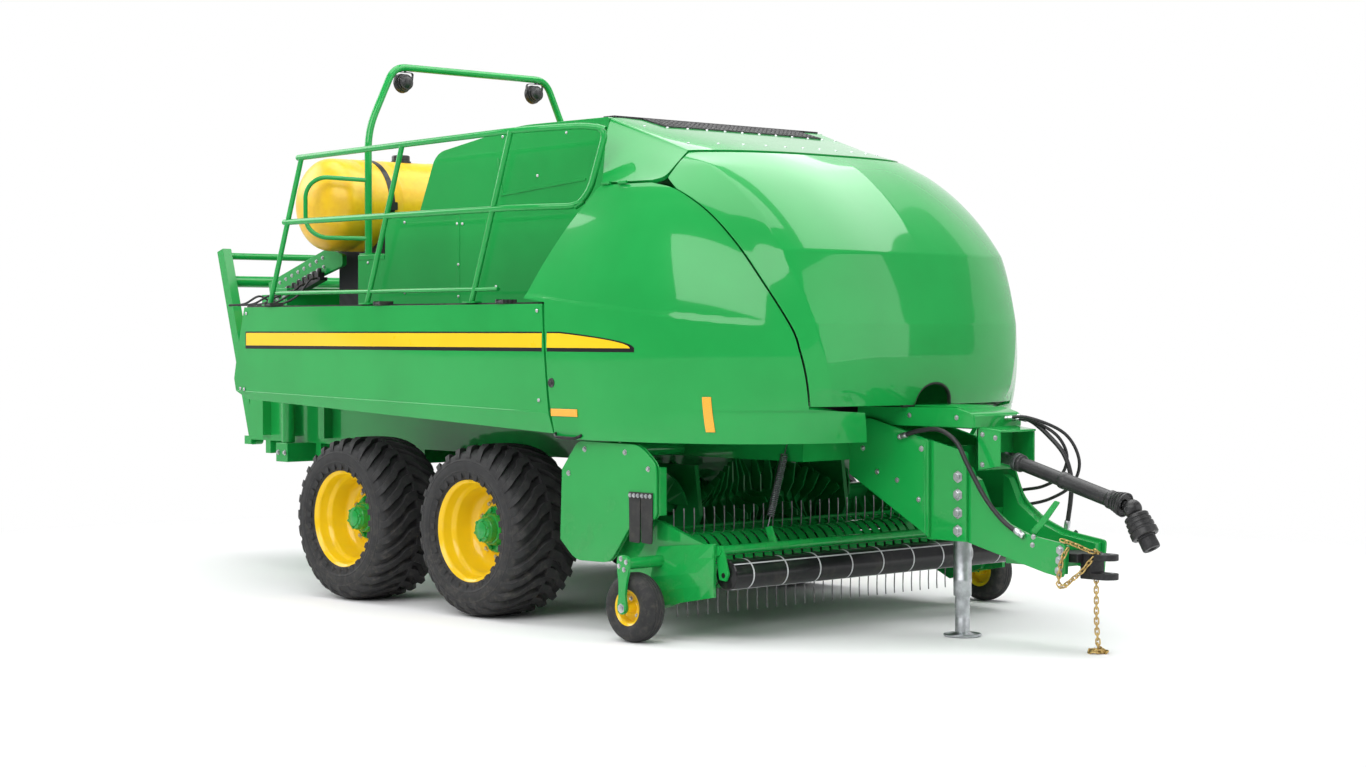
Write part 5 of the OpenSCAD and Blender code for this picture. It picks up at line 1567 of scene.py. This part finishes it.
# %% Roof vent
mesh = Shape().add(*box((1182, 1278), (-858, 858), (2930.2, 2934)))
for x in np.linspace(1186, 1274, 7):
    mesh.add(*carry([[x, -856, 2937], [x, 856, 2937]], [[-3, -4], [3, -4], [3, 4], [-3, 4]],
                    side=(1, 0, 0)))
for y in np.linspace(-854, 854, 72):
    mesh.add(*carry([[1183, y, 2936], [1277, y, 2936]], [[-3, -3], [3, -3], [3, 3], [-3, 3]],
                    side=(0, 1, 0)))
make("roof_mesh", mesh, black_plastic, "chassis", ["vent"], angle=30)

# %% [markdown]
# A grab loop bent from tube stands out from the near leg of the lamp hoop, beside the way up to
# the platform.

# %% Grab loop
loop = rounded([[-1150, -872, 2672], [-1440, -1052, 2700], [-1520, -1100, 2620], [-1520, -1100, 2380],
                [-1440, -1052, 2300], [-1150, -872, 2290]], [70, 60, 60, 70], 8)
make("grab_loop", Shape().add(*tube(loop, 15, 14, side=(0.5, -0.86, 0))), green_paint, "chassis",
     angle=60)

# %% [markdown]
# At the rear the density press squeezes the chamber. Cross beams above and below are drawn
# together by two hydraulic cylinders with chromed rods, and a sloping bolted beam carries the
# valve bank on each side.

# %% Density press
press = Shape()
rods = Shape()
beam_bolts = Shape()
for z0, z1 in ((1850, 1980), (780, 910)):
    press.add(*box((-2330, -2190), (-800, 800), (z0, z1)))
BEAM = [[-2598, 2024], [-1867, 2253], [-1700, 2200], [-1700, 2128], [-2574, 1897]]
for s in (-1, 1):
    press.add(*slab(soft_line(BEAM, [20, 16, 16], 4), s * 645, s * 680))
    barrel = [[0, 912], [44, 912], [45, 916], [45, 1440], [49, 1444], [49, 1466], [45, 1470], [27, 1470],
              [0, 1470]]
    press.add(*turned(barrel, [-2260, s * 745, 0], (0, 0, 1), 36))
    rods.add(*turned([[0, 1468], [25, 1468], [25, 1846], [0, 1846]], [-2260, s * 745, 0], (0, 0, 1), 32))
    along = np.linspace(0.05, 0.95, 9)[:, None]
    row = np.array([-2560, s * 680, 1990]) + along * np.array([660, 0, 205])
    beam_bolts.add(*scatter(hex_bolt(17, 9), np.concatenate([row, row + [12, 0, -62]]), (0, s, 0)))
    spots = [[x, s * 802, z] for z in (1915, 845) for x in (-2300, -2220)]
    beam_bolts.add(*scatter(hex_bolt(22, 12), spots, (0, s, 0)))
soften(make("press_beams", press, green_paint, "chassis", ["press_frame"], angle=30), 4)
make("press_rods", rods, chrome, "chassis", angle=35)
make("press_bolts", beam_bolts, zinc, "chassis", angle=30)

# %% [markdown]
# A row of small black valves sits beside each beam, with thin hoses that drop to the platform. They
# are blocks with a turned coil on top, set down by a loop, and tubes through a few points.

# %% Valve bank
bank = Shape()
tubes = Shape()
for s in (-1, 1):
    for k in range(9):
        x, z = -2440 + k * 62, 1872 + k * 19
        bank.add(*box((x, x + 46), sorted((s * 690, s * 742)), (z, z + 62)))
        bank.add(*turned([[0, 0], [13, 0], [15, 4], [15, 26], [10, 30], [0, 30]],
                         [x + 23, s * 716, z + 60], (0, 0, 1), 14))
    bank.add(*slab([[-2460, 1850], [-2460, 1872], [-1870, 2052], [-1870, 2030]], s * 684, s * 748))
    for k in range(5):
        x, z = -2380 + k * 118, 1880 + k * 36
        drop = through([[x, s * 744, z + 20], [x - 4, s * 800, z + 6], [x - 30, s * 880, 1925],
                        [x - 90, s * 960, 1872], [x - 190, s * 1020, 1862]], 8)
        tubes.add(*tube(drop, 7.5, 8))
soften(make("valve_bank", bank, black_plastic, "chassis", angle=30), 2)
make("valve_hoses", tubes, hose_rubber, "chassis", angle=60)

# %% [markdown]
# The stage is a pale floor that runs up into a pale backdrop, so no horizon shows. Large soft
# lamps stand for studio flash boxes: a broad one over the near side, a long one above, and
# weaker ones in front and behind. The paper is clear from its back, so a camera behind the
# machine looks through the wall.

# %% Stage


def backdrop():
    """Floor profile in (distance, height): flat, then a quarter circle up to a wall, carried sideways."""
    a = np.linspace(0, np.pi / 2, 24)
    curve = np.stack([22 + 9 * np.sin(a), 9 - 9 * np.cos(a)], -1)
    line = np.concatenate([[[-150.0, 0.0]], curve, [[31.0, 34.0]]])
    side = np.array([-150.0, 150.0])
    away = np.array([-math.sin(math.radians(46.2)), math.cos(math.radians(46.2)), 0.0])
    across = np.array([away[1], -away[0], 0.0])
    pts = line[:, None, :1] * away + side[None, :, None] * across + line[:, None, 1:] * [0, 0, 1.0]
    return pts, quads(len(line), 2)


FLOOR_DROP = 0.0005
stage_finish = Finish("studio_paper")
paper = stage_finish.shade(Base_Color=rgb(0.88, 0.88, 0.88), Roughness=0.9)
RAYS = ("Is Camera Ray", "Is Glossy Ray", "Is Transmission Ray")
rays = [stage_finish.node("LightPath", None, None, name) for name in RAYS]
spread = stage_finish.node("VectorMath", {"operation": "LENGTH"}, {0: stage_finish.place()}, "Value")
white = stage_finish.node("Emission", None, {"Color": rgb(1, 1, 1), "Strength": 1.0})
far_off = stage_finish.band(spread, 3.8, 7.5) * (rays[0] + rays[1] + rays[2])
paper_shader = Value(stage_finish, stage_finish.shader.outputs[0])
blend_shader = stage_finish.node("MixShader", None, {0: far_off, 1: paper_shader, 2: white})
behind = stage_finish.node("NewGeometry", None, None, "Backfacing")
clear = stage_finish.node("BsdfTransparent", None, {"Color": rgb(1, 1, 1)})
one_sided = stage_finish.node("MixShader", None, {0: behind, 1: blend_shader, 2: clear})
output = next(n for n in stage_finish.tree.nodes if n.type == "OUTPUT_MATERIAL")
stage_finish.feed(output.inputs["Surface"], one_sided)
stage_mesh = bpy.data.meshes.new("studio_floor")
floor_points, floor_faces = backdrop()
floor_points = floor_points.reshape(-1, 3) - [0, 0, FLOOR_DROP]
stage_mesh.from_pydata(floor_points.tolist(), [], floor_faces[:, ::-1].tolist())
stage_floor = bpy.data.objects.new("studio_floor", stage_mesh)
bpy.context.scene.collection.objects.link(stage_floor)
stage_mesh.shade_smooth()
stage_mesh.materials.append(paper)

world = bpy.data.worlds.new("studio_air")
bpy.context.scene.world = world
world.use_nodes = True
air = world.node_tree.nodes["Background"]
air.inputs["Color"].default_value = rgb(0.95, 0.97, 1.0)
air.inputs["Strength"].default_value = 0.32


def lamp(name, place, target, width, height, watts):
    """A rectangular soft box at place that points at target."""
    light = bpy.data.lights.new(name, "AREA")
    light.shape = "RECTANGLE"
    light.size = width
    light.size_y = height
    light.energy = watts
    obj = bpy.data.objects.new(name, light)
    bpy.context.scene.collection.objects.link(obj)
    obj.location = place
    obj.rotation_euler = (Vector(target) - Vector(place)).to_track_quat("-Z", "Y").to_euler()


lamp("key_box", (5.0, -13.0, 10.0), (0.3, 0.0, 1.2), 16.0, 9.0, 1900)
lamp("hood_box", (1.2, 2.8, 7.0), (1.2, 2.4, 0.0), 7.0, 4.0, 330)
lamp("top_box", (-1.0, -1.5, 11.0), (-1.0, -1.0, 0.0), 12.0, 6.0, 700)
lamp("front_box", (15.0, 5.0, 6.0), (1.0, 0.0, 1.2), 12.0, 10.0, 650)
lamp("rear_box", (-9.0, -4.0, 6.0), (0.0, 0.0, 1.2), 5.0, 5.0, 300)
print("stage and lamps set")

# %% [markdown]
# The camera was fitted to the photograph: known points on the machine were matched to pixels
# until place, turn and focal length agreed. The optical axis falls a little right of the
# picture's middle, which the shift takes up.

# %% Camera
CAMERA_PLACE = (11.300, -10.208, 1.687)
AZIMUTH, ELEVATION = math.radians(46.202), math.radians(1.254)
FOCAL_PIXELS, WIDE, AXIS_X = 2416.3, 1366, 712.4
camera_data = bpy.data.cameras.new("photo_camera")
camera = bpy.data.objects.new("photo_camera", camera_data)
bpy.context.scene.collection.objects.link(camera)
level, rise = math.cos(ELEVATION), math.sin(ELEVATION)
back = Vector((math.sin(AZIMUTH) * level, -math.cos(AZIMUTH) * level, rise))
right = Vector((math.cos(AZIMUTH), math.sin(AZIMUTH), 0.0))
turn = Matrix((right, back.cross(right), back)).transposed()
camera.matrix_world = Matrix.Translation(CAMERA_PLACE) @ turn.to_4x4()
camera_data.sensor_width = 36.0
camera_data.lens = 36.0 * FOCAL_PIXELS / WIDE
camera_data.shift_x = (WIDE / 2 - AXIS_X) / WIDE
camera_data.clip_end = 500
bpy.context.scene.camera = camera
bpy.context.scene.view_settings.view_transform = "Standard"
print("camera lens", round(camera_data.lens, 2), "mm")
